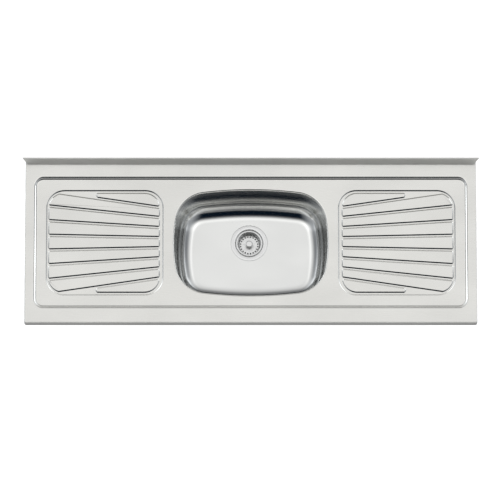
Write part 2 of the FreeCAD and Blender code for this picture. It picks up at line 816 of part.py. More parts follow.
def make_lock_nut():
    """Makes the lugged back nut that clamps the strainer from below."""
    body = new_body("lock_nut")
    bore = S.thread_radius + S.nut_thread_clearance
    flange_bottom = nut_top - S.lock_nut_flange_height
    profile = [
        (bore, nut_bottom),
        (S.lock_nut_radius, nut_bottom),
        (S.lock_nut_radius, flange_bottom),
        (S.lock_nut_flange_radius, flange_bottom),
        (S.lock_nut_flange_radius, nut_top),
        (bore, nut_top),
    ]
    revolve(body, profile)
    lug = add_sketch(body, "lug", "XY_Plane", nut_bottom)
    root = (bore + S.lock_nut_radius) / 2
    half_lug = S.lock_nut_lug_width / 2
    reach = S.lock_nut_lug_reach
    add_polygon(lug, [(root, -half_lug), (reach, -half_lug), (reach, half_lug), (root, half_lug)])
    repeat_round(body, pad(body, lug, S.lock_nut_height), LOCK_NUT_LUG_COUNT)
    return place_waste(body)


def make_tailpiece():
    """Makes the outlet tube with its clamped collar."""
    body = new_body("tailpiece")
    bore = S.tailpiece_radius - S.tailpiece_wall
    end = collar_top - S.tailpiece_length
    profile = [
        (bore, end),
        (S.tailpiece_radius, end),
        (S.tailpiece_radius, collar_bottom),
        (S.tailpiece_collar_radius, collar_bottom),
        (S.tailpiece_collar_radius, collar_top),
        (bore, collar_top),
    ]
    revolve(body, profile)
    return place_waste(body)


def make_coupling_nut():
    """Makes the hexagonal nut that draws the tailpiece's collar up to the spigot."""
    body = new_body("coupling_nut")
    bottom = collar_bottom - S.coupling_nut_floor
    hexagon = add_sketch(body, "hexagon", "XY_Plane", bottom)
    half_flat = S.coupling_nut_flat_width / 2
    corner = S.coupling_nut_flat_width / math.sqrt(3)
    half_corner = corner / 2
    right_side = [(half_corner, -half_flat), (corner, ZERO), (half_corner, half_flat)]
    add_polygon(hexagon, right_side + [(-x, -y) for x, y in right_side])
    pad(body, hexagon, S.coupling_nut_height)
    thread = add_sketch(body, "thread", "XY_Plane", bottom + S.coupling_nut_height + S.overrun)
    add_circle(thread, ZERO, ZERO, S.spigot_radius + S.nut_thread_clearance)
    pocket(body, thread, S.coupling_nut_height - S.coupling_nut_floor + S.overrun)
    hole = add_sketch(body, "tube_hole", "XY_Plane", collar_bottom + S.overrun)
    add_circle(hole, ZERO, ZERO, S.tailpiece_radius + S.coupling_nut_tube_clearance)
    pocket(body, hole, S.coupling_nut_floor + S.overrun * 2)
    return place_waste(body)


# Basket


def make_basket_cup():
    """Makes the perforated basket with its solid rim."""
    body = new_body("basket_cup")
    edge = S.basket_rim_edge
    profile = [
        (S.sleeve_radius, basket_underside),
        (S.basket_floor_radius + S.basket_wall, basket_underside),
        (S.basket_mouth_radius + S.basket_wall, rim_underside),
        (S.basket_rim_radius, rim_underside),
        (S.basket_rim_radius, rim_top - edge),
        (S.basket_rim_radius - edge, rim_top),
        (S.basket_mouth_radius + edge, rim_top),
        (S.basket_mouth_radius, rim_top - edge),
        (S.basket_floor_radius, basket_floor),
        (S.sleeve_radius, basket_floor),
    ]
    revolve(body, profile)
    floor_hole = add_sketch(body, "floor_hole", "XY_Plane", basket_floor + S.overrun)
    add_circle(floor_hole, S.basket_floor_ring_radius, ZERO, S.basket_hole_radius)
    repeat_round(body, pocket(body, floor_hole, S.basket_wall + S.overrun * 2), BASKET_HOLE_COUNT)
    wall_hole = add_sketch(body, "wall_hole", "YZ_Plane", S.sleeve_collar_radius)
    add_circle(wall_hole, ZERO, basket_floor + S.basket_wall_hole_height, S.basket_hole_radius)
    outwards = S.basket_mouth_radius + S.basket_wall + S.overrun - S.sleeve_collar_radius
    repeat_round(body, pocket(body, wall_hole, outwards, downwards=False), BASKET_HOLE_COUNT)
    return place_waste(body)


def make_basket_sleeve():
    """Makes the bush in the basket floor that guides the stem."""
    body = new_body("basket_sleeve")
    bore = S.stem_radius + S.stem_running_clearance
    collar_underside = basket_underside - S.sleeve_collar_height
    profile = [
        (bore, collar_underside),
        (S.sleeve_collar_radius, collar_underside),
        (S.sleeve_collar_radius, basket_underside),
        (S.sleeve_radius, basket_underside),
        (S.sleeve_radius, sleeve_top),
        (bore, sleeve_top),
    ]
    revolve(body, profile)
    return place_waste(body)


# Plunger


def make_knob():
    """Makes the pull knob: a round head on a narrower waist."""
    body = new_body("stopper_knob")
    edge = S.knob_edge_chamfer
    head_underside = knob_top - S.knob_head_height
    socket_top = knob_underside + S.knob_socket_depth
    profile = [
        (ZERO, socket_top),
        (S.stem_radius, socket_top),
        (S.stem_radius, knob_underside),
        (S.knob_waist_radius, knob_underside),
        (S.knob_waist_radius, head_underside - edge),
        (S.knob_radius - edge, head_underside),
        (S.knob_radius, head_underside + edge),
        (S.knob_radius, knob_top - edge),
        (S.knob_radius - edge, knob_top),
        (ZERO, knob_top),
    ]
    revolve(body, profile)
    return place_waste(body)


def make_stem():
    """Makes the stem: full width down to the washer, then a thinner tail through seal and nut."""
    body = new_body("stopper_stem")
    tail_end = seal_underside - S.stem_nut_height - S.stem_tip_length
    point = S.stem_tail_radius / 2
    profile = [
        (ZERO, tail_end),
        (point, tail_end),
        (S.stem_tail_radius, tail_end + point),
        (S.stem_tail_radius, shoulder),
        (S.stem_radius, shoulder),
        (S.stem_radius, knob_underside + S.knob_socket_depth),
        (ZERO, knob_underside + S.knob_socket_depth),
    ]
    revolve(body, profile)
    return place_waste(body)


def make_stem_nut():
    """Makes the round nut that holds the seal on the stem's tail."""
    body = new_body("stem_nut")
    bottom = seal_underside - S.stem_nut_height
    edge = S.stem_nut_chamfer
    profile = [
        (S.stem_tail_radius, bottom),
        (S.stem_nut_radius - edge, bottom),
        (S.stem_nut_radius, bottom + edge),
        (S.stem_nut_radius, seal_underside),
        (S.stem_tail_radius, seal_underside),
    ]
    revolve(body, profile)
    return place_waste(body)


def make_waste():
    """Makes everything on the waste axis, from the flange down to the tailpiece."""
    bore = S.thread_radius + S.ring_bore_clearance
    tube_bore = S.tailpiece_radius - S.tailpiece_wall
    return [
        make_drain_body(),
        make_ring("flange_gasket", bore, S.flange_gasket_radius, seat_floor, flange_underside),
        make_ring("under_gasket", bore, S.under_gasket_radius, washer_top, bowl_underside),
        make_ring("friction_washer", bore, S.under_gasket_radius, nut_top, washer_top),
        make_lock_nut(),
        make_tailpiece(),
        make_ring("tailpiece_washer", tube_bore, S.tailpiece_collar_radius, collar_top, spigot_end),
        make_coupling_nut(),
        make_basket_cup(),
        make_basket_sleeve(),
        make_knob(),
        make_stem(),
        make_ring("stopper_seal", S.stem_tail_radius, S.seal_radius, seal_underside, seal_top),
        make_ring("seal_washer", S.stem_tail_radius, S.seal_washer_radius, seal_top, shoulder),
        make_stem_nut(),
    ]


def build():
    """Builds every sub-part and gives them back in the order of the file list."""
    parts = [make_sink_top(), make_bowl()]
    parts += make_battens()
    for name, side in (("left", -1), ("right", 1)):
        parts.append(make_stiffener(name + "_stiffener", side))
        parts.append(make_drainer_pad(name + "_drainer_pad", side))
        parts.append(make_bowl_pad(name + "_bowl_pad", side))
    return parts + make_waste()


def export(parts):
    """Writes one file for each sub-part once the whole document has been checked."""
    doc.recompute()
    for item in doc.Objects:
        if "Invalid" in item.State or "Error" in item.State:
            raise RuntimeError("{} did not recompute: {}".format(item.Name, item.State))
    os.makedirs("parts", exist_ok=True)
    for part in parts:
        if part.Shape.isNull() or not part.Shape.isValid():
            raise RuntimeError("{} has no valid shape".format(part.Label))
        part.Shape.exportStep("parts/{}.step".format(part.Label))
        print(part.Label, round(part.Shape.Volume), len(part.Shape.Solids))


export(build())
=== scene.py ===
"""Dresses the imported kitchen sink: pressed top, bowl, drainers, strainer, underside and studio."""

import math

import bmesh
import bpy
from bpy.props import FloatProperty, FloatVectorProperty, IntProperty, PointerProperty
from mathutils import Matrix, Vector


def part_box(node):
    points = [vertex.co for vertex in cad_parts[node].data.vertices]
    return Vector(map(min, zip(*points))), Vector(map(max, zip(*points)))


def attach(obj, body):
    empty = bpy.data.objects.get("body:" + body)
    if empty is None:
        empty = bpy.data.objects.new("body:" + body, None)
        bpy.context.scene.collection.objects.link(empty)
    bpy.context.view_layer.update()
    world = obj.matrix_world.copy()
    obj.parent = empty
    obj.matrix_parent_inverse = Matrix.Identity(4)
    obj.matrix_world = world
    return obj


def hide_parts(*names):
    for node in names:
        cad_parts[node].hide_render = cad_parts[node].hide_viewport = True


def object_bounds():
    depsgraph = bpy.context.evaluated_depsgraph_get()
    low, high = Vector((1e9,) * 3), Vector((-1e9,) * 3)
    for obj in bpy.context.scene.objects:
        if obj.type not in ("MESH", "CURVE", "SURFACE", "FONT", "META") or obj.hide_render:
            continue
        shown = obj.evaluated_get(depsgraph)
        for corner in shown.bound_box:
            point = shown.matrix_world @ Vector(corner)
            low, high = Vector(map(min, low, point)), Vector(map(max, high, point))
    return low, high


bl_info = {
    "name": "Kitchen sink with two drainers",
    "version": (1, 0, 0),
    "blender": (4, 5, 0),
    "location": "3D View > Sidebar > Sink",
    "description": "Builds the visible pieces of a lay-on steel kitchen sink around its packed model",
    "category": "Object",
}

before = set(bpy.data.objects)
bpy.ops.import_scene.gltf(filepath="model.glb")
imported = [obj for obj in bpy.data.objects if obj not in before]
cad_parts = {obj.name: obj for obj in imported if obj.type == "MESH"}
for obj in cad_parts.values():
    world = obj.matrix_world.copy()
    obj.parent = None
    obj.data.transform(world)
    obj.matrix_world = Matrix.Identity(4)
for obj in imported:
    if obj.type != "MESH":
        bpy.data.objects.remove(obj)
CAD_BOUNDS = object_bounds()
BOXES = {node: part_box(node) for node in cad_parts}

MM = 0.001
UP = Vector((0, 0, 1))
TURN = math.tau
HEXAGON = 6
ROUND_PROFILE = 0.5
SHARP_EDGE = math.radians(38)
SHARP_CORNER = math.radians(25)
# left flat beside every bend, so that the flat sheet shades flat
FLAT_STRIP = 0.3 * MM
TOUCHING = 0.01 * MM
WELD_GAP = 1e-6
SEAM_GAP = 1e-7

# Roundings of turned and moulded edges

KEEN = 0.3 * MM
FINE = 0.4 * MM
EASED = 0.5 * MM
SOFT = 0.6 * MM
FULL = 0.8 * MM
BROAD = 1.0 * MM
CARD_EDGE = 0.2 * MM
THROAT_ROLL = 2.4 * MM
CUP_BEND_INSIDE = 6 * MM
CUP_BEND_OUTSIDE = 5 * MM
NUT_CHAMFER = 1.6 * MM
NUT_CORNER = 3 * MM
BASKET_BEND = 1.4 * MM
RIM_ROLL = 1.9 * MM
KNOB_SWELL = 3 * MM
KNOB_COVE = 2.5 * MM
KNOB_UNDERSIDE = 1.6 * MM
KNOB_SHOULDER = 1.8 * MM
KNOB_CROWN = 2 * MM
KNOB_CROWN_INSET = 2.2 * MM
SEAL_BEVEL_WIDTH = 4 * MM
SEAL_BEVEL_HEIGHT = 1.4 * MM
SEAL_LIP = 1.2 * MM

# Play between the turned pieces, and the threads, whose crest is given in shares of the pitch

THREAD_PLAY = 0.2 * MM
TUBE_PLAY = 1 * MM
CREST_FROM = 0.4
CREST_TO = 0.6
THREAD_STEPS = 48

# Corners and steps of round outlines

BASKET_CORNERS = 120
BORE_CORNERS = 48
HOLE_CORNERS = 14
END_STEPS = 10
CORNER_STEPS = 16
SIDE_STEPS = 18
FLOOR_STEPS = 6

# Width of the seat's step in bends, the band of holes, and how near an end or a foot edges are looked for

SEAT_STEP = 2.5
BAND_HEIGHT = 6 * MM
BLUNT_END = 10 * MM
FOOT_SEARCH = 3 * MM
END_SEARCH = 12 * MM

# A face is a slope when its normal rises less than this, and looks up or in when it turns there by more

RUBBED_LEAN = 0.985
FACING = 0.5

# The studio floor's half width, and where a noise mostly lies

FLOOR_REACH = 6.0
NOISE_LOW = 0.3
NOISE_HIGH = 0.7


def length(name, description, millimetres):
    """A length property whose default is given in millimetres."""
    return FloatProperty(
        name=name,
        description=description,
        default=millimetres * MM,
        min=0.0,
        precision=5,
        subtype="DISTANCE",
        unit="LENGTH",
    )


def slant(name, description, degrees):
    """An angle property whose default is given in degrees."""
    return FloatProperty(
        name=name, description=description, default=math.radians(degrees), subtype="ANGLE", unit="ROTATION"
    )


def colour(name, description, default):
    return FloatVectorProperty(
        name=name, description=description, default=default, size=3, min=0.0, max=1.0, subtype="COLOR"
    )


def share(name, description, default):
    return FloatProperty(
        name=name, description=description, default=default, min=0.0, max=1.0, subtype="FACTOR"
    )


def number_of(name, description, default):
    return IntProperty(name=name, description=description, default=default, min=2)


# Sizes and colours a user would change


class DeckSettings(bpy.types.PropertyGroup):
    deck_length: length("Deck length", "Length of the top along the wall", 1400)
    deck_depth: length("Deck depth", "Depth of the flat top in front of the upstand", 506)
    deck_corner: length("Deck corner", "Radius of the two front corners seen from above", 6)
    apron_height: length("Apron height", "Height of the folded front and ends", 30)
    fold_radius: length("Fold radius", "Outer radius of the fold from the top into the apron", 3)
    sheet: length("Sheet", "Thickness of the stainless steel sheet", 1)
    border_front: length("Front border", "From the front edge to the sunk panel", 45.5)
    border_back: length("Back border", "From the sunk panel to the upstand", 37)
    border_end: length("End border", "From each end to the sunk panel", 26)
    panel_corner: length("Panel corner", "Radius of the panel's corners at the top of its step", 32)
    panel_drop: length("Panel drop", "How far the panel lies below the border", 6)
    panel_run: length("Panel step run", "Width of the pressed step round the panel", 12)
    panel_bend: length("Panel step bend", "Share of the step's width that each bend takes", 3)
    lip_radius: length("Lip radius", "Rounding where the panel turns down into the bowl", 5.5)
    lip_depth: length("Lip depth", "Height of the collar that the bowl is welded to", 8)
    upstand_height: length("Upstand height", "Height of the upstand above the top", 35)
    upstand_depth: length("Upstand depth", "Depth of the upstand at its foot", 14)
    upstand_lean: length("Upstand lean", "How far the upstand's face leans back over its height", 9)
    upstand_foot_inset: length("Upstand foot inset", "From the top's end to the foot of the face", 8.5)
    upstand_front_flare: length("Front flare", "How far the head of the face reaches past the end", 7)
    upstand_back_flare: length("Back flare", "How far the head of the back reaches past the end", 9.5)
    upstand_roll: length("Upstand roll", "Radius along the upper edges of the upstand", 1.8)
    upstand_cove: length("Upstand cove", "Radius between the top and the face of the upstand", 2)


class DrainerSettings(bpy.types.PropertyGroup):
    end_margin: length("End margin", "From the end of the top to the drainer", 66)
    bowl_margin: length("Bowl margin", "From the bowl's opening to the drainer", 33.5)
    side_margin: length("Side margin", "From the panel's long sides to the drainer", 43.75)
    corner: length("Corner", "Radius of the drainer's corners", 56)
    rim_at_end: length("Rim at the end", "Foot width of the rim channel at the far end", 6.5)
    rim_at_bowl: length("Rim at the bowl", "Foot width of the rim channel beside the bowl", 11)
    rim_at_side: length("Rim at the sides", "Foot width of the rim channel along the sides", 8.5)
    depth: length("Depth", "How far the channels lie below the panel", 2.5)
    flank_run: length("Flank run", "Width of a channel's sloping side with its bends", 4.6)
    flank_bend: length("Flank bend", "Width of each bend of a channel's side", 0.6)
    flank_middle: length("Flank middle", "From the pressed outline to the middle of a sloping side", 1.25)
    channel_width: length("Channel width", "Width of a fanned channel between the pads", 10)
    fan_far_margin: length("Far fan margin", "From the side to the outermost channel at the far end", 2.8)
    fan_near_margin: length("Near fan margin", "From the side to the outermost channel at the bowl", 56)
    pad_corner: length("Pad corner", "Rounding of the corners of the raised pads", 2)
    wedge_corner: length("Wedge corner", "Rounding of the blunt end of a wedge pad", 3.6)
    wedge_end: share("Wedge end", "Where the wedge pads begin, as a share of the drainer's length", 0.435)
    channels: number_of("Channels", "Number of fanned channels", 8)


class BowlSettings(bpy.types.PropertyGroup):
    bowl_length: length("Bowl length", "Length of the bowl's opening", 475)
    side_margin: length("Side margin", "From the panel's long sides to the bowl's opening", 44.25)
    corner: length("Corner", "Radius of the opening's corners", 97)
    side_bow: length("Side bow", "Radius of the bowed long sides", 1200)
    end_bow: length("End bow", "Radius of the bowed ends", 465)
    depth: length("Bowl depth", "From the panel to the bowl's floor", 150)
    draft: slant("Draft", "Lean of the bowl's walls", 5)
    bottom_radius: length("Bottom radius", "Radius between the walls and the floor", 50)
    floor_fall: length("Floor fall", "How much the floor falls towards the waste", 0.3)
    seat_radius: length("Seat radius", "Radius of the recess that the strainer sits in", 57.5)
    seat_depth: length("Seat depth", "Depth of the strainer's recess", 3.5)
    seat_bend: length("Seat bend", "Width of each bend of the recess's edge", 0.3)
    hole_radius: length("Hole radius", "Radius of the hole for the strainer", 45)


class WasteSettings(bpy.types.PropertyGroup):
    throat_radius: length("Throat radius", "Radius of the opening through the flange", 42.8)
    thread_radius: length("Thread radius", "Outer radius of the strainer's threaded barrel", 44.2)
    thread_length: length("Thread length", "Length of the threaded barrel below the flange", 24)
    ledge_depth: length("Ledge depth", "Depth of the ledge that the basket's rim rests on", 4)
    cup_radius: length("Cup radius", "Inner radius of the strainer's cup", 39)
    cup_depth: length("Cup depth", "Depth of the strainer's cup", 50)
    cup_bevel: length("Cup bevel", "Slope between the cup's wall and its bottom", 9)
    cup_wall: length("Cup wall", "Wall thickness of the cup", 1.8)
    outlet_radius: length("Outlet radius", "Inner radius of the outlet below the cup", 19.5)
    spigot_radius: length("Spigot radius", "Outer radius of the threaded outlet", 23.8)
    flange_edge: length("Flange edge", "Thickness of the flange", 2)
    thread_pitch: length("Thread pitch", "Pitch of the threads on the strainer", 2.4)
    thread_depth: length("Thread depth", "Depth of the threads on the strainer", 0.9)
    spider_drop: length("Spider drop", "From the cup's bottom to the guide spider", 5)
    spider_height: length("Spider height", "Height of the guide spider", 4)
    spider_bar: length("Spider bar", "Width of each bar of the guide spider", 3)
    spider_hub: length("Spider hub", "Outer radius of the spider's hub", 6.5)
    spider_bore: length("Spider bore", "Radius of the hole that guides the stem", 4)
    lock_nut_radius: length("Lock nut radius", "Radius of the lock nut between its lugs", 51)
    lock_nut_flange: length("Lock nut flange", "Radius of the lock nut's upper flange", 54)
    lock_nut_flange_height: length("Lock nut flange height", "Height of the lock nut's upper flange", 3)
    lock_nut_lug: length("Lock nut lug", "Width of each lug of the lock nut", 12)
    coupling_floor: length("Coupling nut floor", "Thickness of the coupling nut's floor", 3)
    tube_radius: length("Tube radius", "Outer radius of the tailpiece", 19.05)
    tube_wall: length("Tube wall", "Wall thickness of the tailpiece", 1.2)
    tube_collar: length("Tube collar", "Height of the tailpiece's collar", 3)
    mouth_radius: length("Mouth radius", "Inner radius at the mouth of the basket", 36)
    basket_wall: length("Basket wall", "Thickness of the basket's sheet", 1)
    basket_rim: length("Basket rim", "Height of the basket's rolled rim", 2.4)
    basket_floor: length("Basket floor", "Radius of the basket's floor", 31)
    hole_radius: length("Strainer hole", "Radius of the small holes in the basket", 2.3)
    hole_ring: length("Hole ring", "Radius of the ring of holes in the basket's floor", 27)
    wall_hole_height: length("Wall hole height", "Height of the ring of holes in the basket's wall", 8)
    sleeve_radius: length("Sleeve radius", "Outer radius of the sleeve that guides the stem", 5.5)
    sleeve_bore: length("Sleeve bore", "Radius of the sleeve's hole", 3.08)
    sleeve_collar: length("Sleeve collar", "Height of the sleeve's collar under the basket", 1.2)
    knob_waist: length("Knob waist", "Radius of the knob below its head", 5.5)
    knob_head: length("Knob head", "Height of the knob's head", 6)
    stem_radius: length("Stem radius", "Radius of the stopper's stem", 3)
    stem_tail: length("Stem tail", "Radius of the stem's threaded tail", 2.4)
    lugs: number_of("Lugs", "Number of lugs on the lock nut", 6)
    bars: number_of("Spider bars", "Number of bars of the guide spider", 3)
    holes: number_of("Holes", "Number of holes in each ring", 20)


class UndersideSettings(bpy.types.PropertyGroup):
    batten_edge: length("Batten edge", "Rounding along the battens' edges", 0.8)
    hat_flange: length("Stiffener flange", "Width of each flange of a hat stiffener", 12)
    hat_sheet: length("Stiffener sheet", "Thickness of the stiffeners' sheet", 1.2)
    hat_bend: length("Stiffener bend", "Bend radius of the stiffeners", 2)
    pad_corner: length("Sound pad corner", "Radius of the sound pads' corners", 8)
    pad_edge: length("Sound pad edge", "Rounding along the sound pads' edges", 0.8)


class FinishSettings(bpy.types.PropertyGroup):
    steel: colour("Steel", "Reflection colour of the satin sheet", (0.682, 0.675, 0.645))
    steel_roughness: share("Satin roughness", "Roughness of the satin top", 0.29)
    rubbed_roughness: share("Rubbed roughness", "Roughness of slopes that the press tool rubs smooth", 0.15)
    upstand_coarser: share("Upstand coarser", "How much rougher the upstand is than the top", 0.3)
    bowl_steel: colour("Bowl steel", "Reflection colour of the drawn bowl", (0.715, 0.716, 0.7))
    bowl_roughness: share("Bowl roughness", "Roughness of the drawn bowl", 0.14)
    polished: colour("Polished steel", "Reflection colour of the strainer", (0.68, 0.68, 0.672))
    strainer_roughness: share("Strainer roughness", "Roughness of the strainer's flange", 0.2)
    basket_roughness: share("Basket roughness", "Roughness of the basket", 0.28)
    stopper_roughness: share("Stopper roughness", "Roughness of the knob and the stem", 0.16)
    # Painted shade: the steel inside the strainer's cup gets a darker colour for the shade under the basket;
    # the roughness below is its real, rougher finish
    shaded_cup_steel: colour("Unpolished steel", "Reflection colour inside the strainer's cup", (0.3, 0.295, 0.29))
    unpolished_roughness: share("Unpolished roughness", "Roughness inside the strainer's cup", 0.45)
    chrome: colour("Chrome", "Reflection colour of the tailpiece", (0.72, 0.73, 0.74))
    chrome_roughness: share("Chrome roughness", "Roughness of the tailpiece", 0.08)
    chipboard: colour("Chipboard", "Colour of the battens", (0.50, 0.34, 0.19))
    zinc: colour("Zinc", "Colour of the galvanised stiffeners", (0.52, 0.54, 0.56))
    bitumen: colour("Bitumen", "Colour of the sound pads", (0.035, 0.035, 0.037))
    rubber: colour("Rubber", "Colour of gaskets and seal", (0.022, 0.022, 0.022))
    card: colour("Card", "Colour of the friction washer", (0.44, 0.33, 0.20))
    plastic: colour("Plastic", "Colour of the nuts", (0.52, 0.53, 0.54))


class StudioSettings(bpy.types.PropertyGroup):
    camera_elevation: slant("Camera elevation", "Height of the view above the horizon", 75.5)
    camera_distance: length("Camera distance", "From the sink to the camera", 20000)
    frame_width: length("Frame width", "Width that the picture takes in", 1548)
    aim_left: length("Aim left", "From the sink's middle to the place that the camera looks at", 2.5)
    aim_back: length("Aim back", "From the wall to the place that the camera looks at", 288)
    floor: colour("Floor", "Colour of the studio floor", (0.5, 0.5, 0.5))


class SinkSettings(bpy.types.PropertyGroup):
    deck: PointerProperty(type=DeckSettings)
    drainer: PointerProperty(type=DrainerSettings)
    bowl: PointerProperty(type=BowlSettings)
    waste: PointerProperty(type=WasteSettings)
    underside: PointerProperty(type=UndersideSettings)
    finish: PointerProperty(type=FinishSettings)
    studio: PointerProperty(type=StudioSettings)


def settings():
    return bpy.context.scene.kitchen_sink


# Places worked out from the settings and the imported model


class Places:
    """Levels and places of the sink in the row's frame."""

    def __init__(self):
        deck, drainer, bowl = settings().deck, settings().drainer, settings().bowl
        self.wall_y = BOXES["sink_top"][1].y
        self.half_length = deck.deck_length / 2
        self.fold_x = self.half_length - deck.fold_radius - FLAT_STRIP
        self.deck_back = self.wall_y - deck.upstand_depth
        self.deck_front = self.deck_back - deck.deck_depth
        self.deck_level = deck.apron_height
        self.panel_level = deck.apron_height - deck.panel_drop
        self.seam_level = self.panel_level - deck.lip_depth
        self.floor_level = self.panel_level - bowl.depth
        self.panel_x = self.half_length - deck.border_end
        self.panel_front = self.deck_front + deck.border_front
        self.panel_back = self.deck_back - deck.border_back
        self.middle_y = (self.panel_front + self.panel_back) / 2
        self.drainer_outer = self.half_length - drainer.end_margin
        self.drainer_inner = bowl.bowl_length / 2 + drainer.bowl_margin
        self.drainer_half = (self.panel_back - self.panel_front) / 2 - drainer.side_margin
        self.flank_spread = drainer.flank_run / 2 - drainer.flank_middle
        self.outer_channel = (drainer.channels - 1) / 2
        self.bowl_half_x = bowl.bowl_length / 2
        self.bowl_half_y = (self.panel_back - self.panel_front) / 2 - bowl.side_margin
        low, high = BOXES["drain_body"]
        self.waste = Vector(((low.x + high.x) / 2, (low.y + high.y) / 2, 0))


# Modelling helpers


def bevel(bm, items, offset, affect, segments):
    """Rounds corners or edges, keeping the faces' materials, and gives the new corners."""
    made = bmesh.ops.bevel(
        bm,
        geom=items,
        offset=offset,
        offset_type="OFFSET",
        affect=affect,
        segments=segments,
        profile=ROUND_PROFILE,
        material=-1,
    )
    return made["verts"]


def round_corner(bm, vert, radius, segments):
    """Rounds one corner of a path or of a flat face and gives the new corners."""
    sides = [(edge.other_vert(vert).co - vert.co).normalized() for edge in vert.link_edges]
    bend = math.pi - sides[0].angle(sides[1])
    return bevel(bm, [vert], radius * math.tan(bend / 2), "VERTICES", segments)


def neighbours(verts, closed):
    """Pairs each corner of a ring or a chain with the next one."""
    return list(zip(verts, verts[1:])) + ([(verts[-1], verts[0])] if closed else [])


def draw_path(bm, places, closed=False):
    """Adds a path of corners joined by edges, and gives both."""
    verts = [bm.verts.new(place) for place in places]
    return verts, [bm.edges.new(pair) for pair in neighbours(verts, closed)]


def rounded_path(corners, segments=6, closed=False):
    """Gives the points of a path whose corners, each (across, up, radius), are bevelled round."""
    bm = bmesh.new()
    verts, _ = draw_path(bm, [(across, 0, up) for across, up, _ in corners], closed)
    first = None
    for vert, (_, _, radius) in zip(verts, corners):
        if radius:
            round_corner(bm, vert, radius, segments)
        elif first is None:
            first = vert
    if first is None or not first.is_valid:
        bm.verts.ensure_lookup_table()
        first = bm.verts[0]
    following = first.link_edges[0].other_vert(first)
    if closed and (following.co - first.co).dot(Vector((corners[1][0], 0, corners[1][1])) - first.co) < 0:
        following = first.link_edges[1].other_vert(first)
    points, before, current = [first.co.copy()], first, following
    while current is not first:
        points.append(current.co.copy())
        ahead = [edge.other_vert(current) for edge in current.link_edges]
        ahead = [vert for vert in ahead if vert is not before]
        if not ahead:
            break
        before, current = current, ahead[0]
    bm.free()
    return [(point.x, point.z) for point in points]


def pressed_step(run, drop, bend):
    """The path of a pressed step: flat, bend, slope, bend and flat again."""
    slope = math.atan2(drop, run - 2 * bend)
    radius = bend / math.tan(slope / 2)
    upper = [(-FLAT_STRIP, 0, 0), (bend, 0, radius)]
    lower = [(run - bend, -drop, radius), (run + FLAT_STRIP, -drop, 0)]
    return rounded_path(upper + lower, segments=5)


def rectangle(bm, low, high, level, radius, segments, rounded=None):
    """Adds a flat rectangle with rounded corners as one face and gives the face."""
    made = bmesh.ops.create_grid(bm, x_segments=1, y_segments=1, size=0.5)["verts"]
    size = (high[0] - low[0], high[1] - low[1], 1)
    middle = ((high[0] + low[0]) / 2, (high[1] + low[1]) / 2, level)
    bmesh.ops.scale(bm, vec=size, verts=made)
    bmesh.ops.translate(bm, vec=middle, verts=made)
    face = made[0].link_faces[0]
    corners = [vert for vert in made if rounded is None or rounded(vert.co)]
    for corner in corners if radius else ():
        face = round_corner(bm, corner, radius, segments)[0].link_faces[0]
    if face.normal.z < 0:
        face.normal_flip()
    return face


def open_ring(bm, face):
    """Deletes a face but keeps its corners, in order."""
    ring = list(face.verts)
    bmesh.ops.delete(bm, geom=[face], context="FACES_ONLY")
    return ring


def ring_edges(bm, ring, closed=True):
    return [bm.edges.get(pair) for pair in neighbours(ring, closed)]


def outward(ring, closed=True):
    """For each corner of an anticlockwise ring, the way that moves both its sides out by one unit."""
    count = len(ring)
    ways = []
    for index, vert in enumerate(ring):
        sides = []
        if closed or index > 0:
            sides.append(vert.co - ring[index - 1].co)
        if closed or index < count - 1:
            sides.append(ring[(index + 1) % count].co - vert.co)
        normals = [Vector((side.y, -side.x, 0)).normalized() for side in sides]
        total = sum(normals, Vector())
        ways.append(total / (1 + normals[0].dot(normals[-1])) if len(normals) == 2 else normals[0])
    return ways


def carry(bm, ring, places, closed=True):
    """Extrudes a ring of corners to new places and gives the new ring."""
    made = bmesh.ops.extrude_edge_only(bm, edges=ring_edges(bm, ring, closed))["geom"]
    fresh = {item for item in made if isinstance(item, bmesh.types.BMVert)}
    following = []
    for vert, place in zip(ring, places):
        partner = next(edge.other_vert(vert) for edge in vert.link_edges if edge.other_vert(vert) in fresh)
        partner.co = place
        following.append(partner)
    return following


def sweep(bm, ring, path, closed=True, inwards=False):
    """Carries a ring along a path of (outward, upward) points and gives the last ring."""
    ways = [-way if inwards else way for way in outward(ring, closed)]
    start = [vert.co.copy() for vert in ring]
    out_0, up_0 = path[0]
    for out, up in path[1:]:
        places = [co + way * (out - out_0) + UP * (up - up_0) for co, way in zip(start, ways)]
        ring = carry(bm, ring, places, closed)
    return ring


def ways_out(ring):
    """The level directions from the waste's middle to the corners of a ring."""
    waste = Places().waste
    return [Vector((vert.co.x - waste.x, vert.co.y - waste.y, 0)).normalized() for vert in ring]


def carry_round(bm, ring, path):
    """Carries a ring that runs round the waste along (radius, height) points and gives the last ring."""
    waste, ways = Places().waste, ways_out(ring)
    for radius, level in path:
        ring = carry(bm, ring, [waste + way * radius + UP * level for way in ways])
    return ring


def fill_flat(bm, *rings):
    """Fills the flat space between rings with triangles."""
    edges = [edge for ring in rings for edge in ring_edges(bm, ring)]
    bmesh.ops.triangle_fill(bm, use_beauty=True, use_dissolve=False, edges=edges, normal=UP)


def face_outwards(bm, sample):
    """Points all faces the same way, so that the one nearest to a sample place faces up."""
    bmesh.ops.recalc_face_normals(bm, faces=bm.faces)
    top = min(bm.faces, key=lambda face: (face.calc_center_median() - Vector(sample)).length)
    if top.normal.z < 0:
        bmesh.ops.reverse_faces(bm, faces=bm.faces)


def close_seams(bm):
    """Merges the seams and poles of a finished solid and points its faces outwards."""
    bmesh.ops.remove_doubles(bm, verts=bm.verts, dist=SEAM_GAP)
    bmesh.ops.recalc_face_normals(bm, faces=bm.faces)


def link_mesh(name, bm, material):
    """Makes the object of a finished mesh."""
    mesh = bpy.data.meshes.new(name)
    bm.to_mesh(mesh)
    bm.free()
    mesh.materials.append(material)
    made = bpy.data.objects.new(name, mesh)
    bpy.context.scene.collection.objects.link(made)
    return made


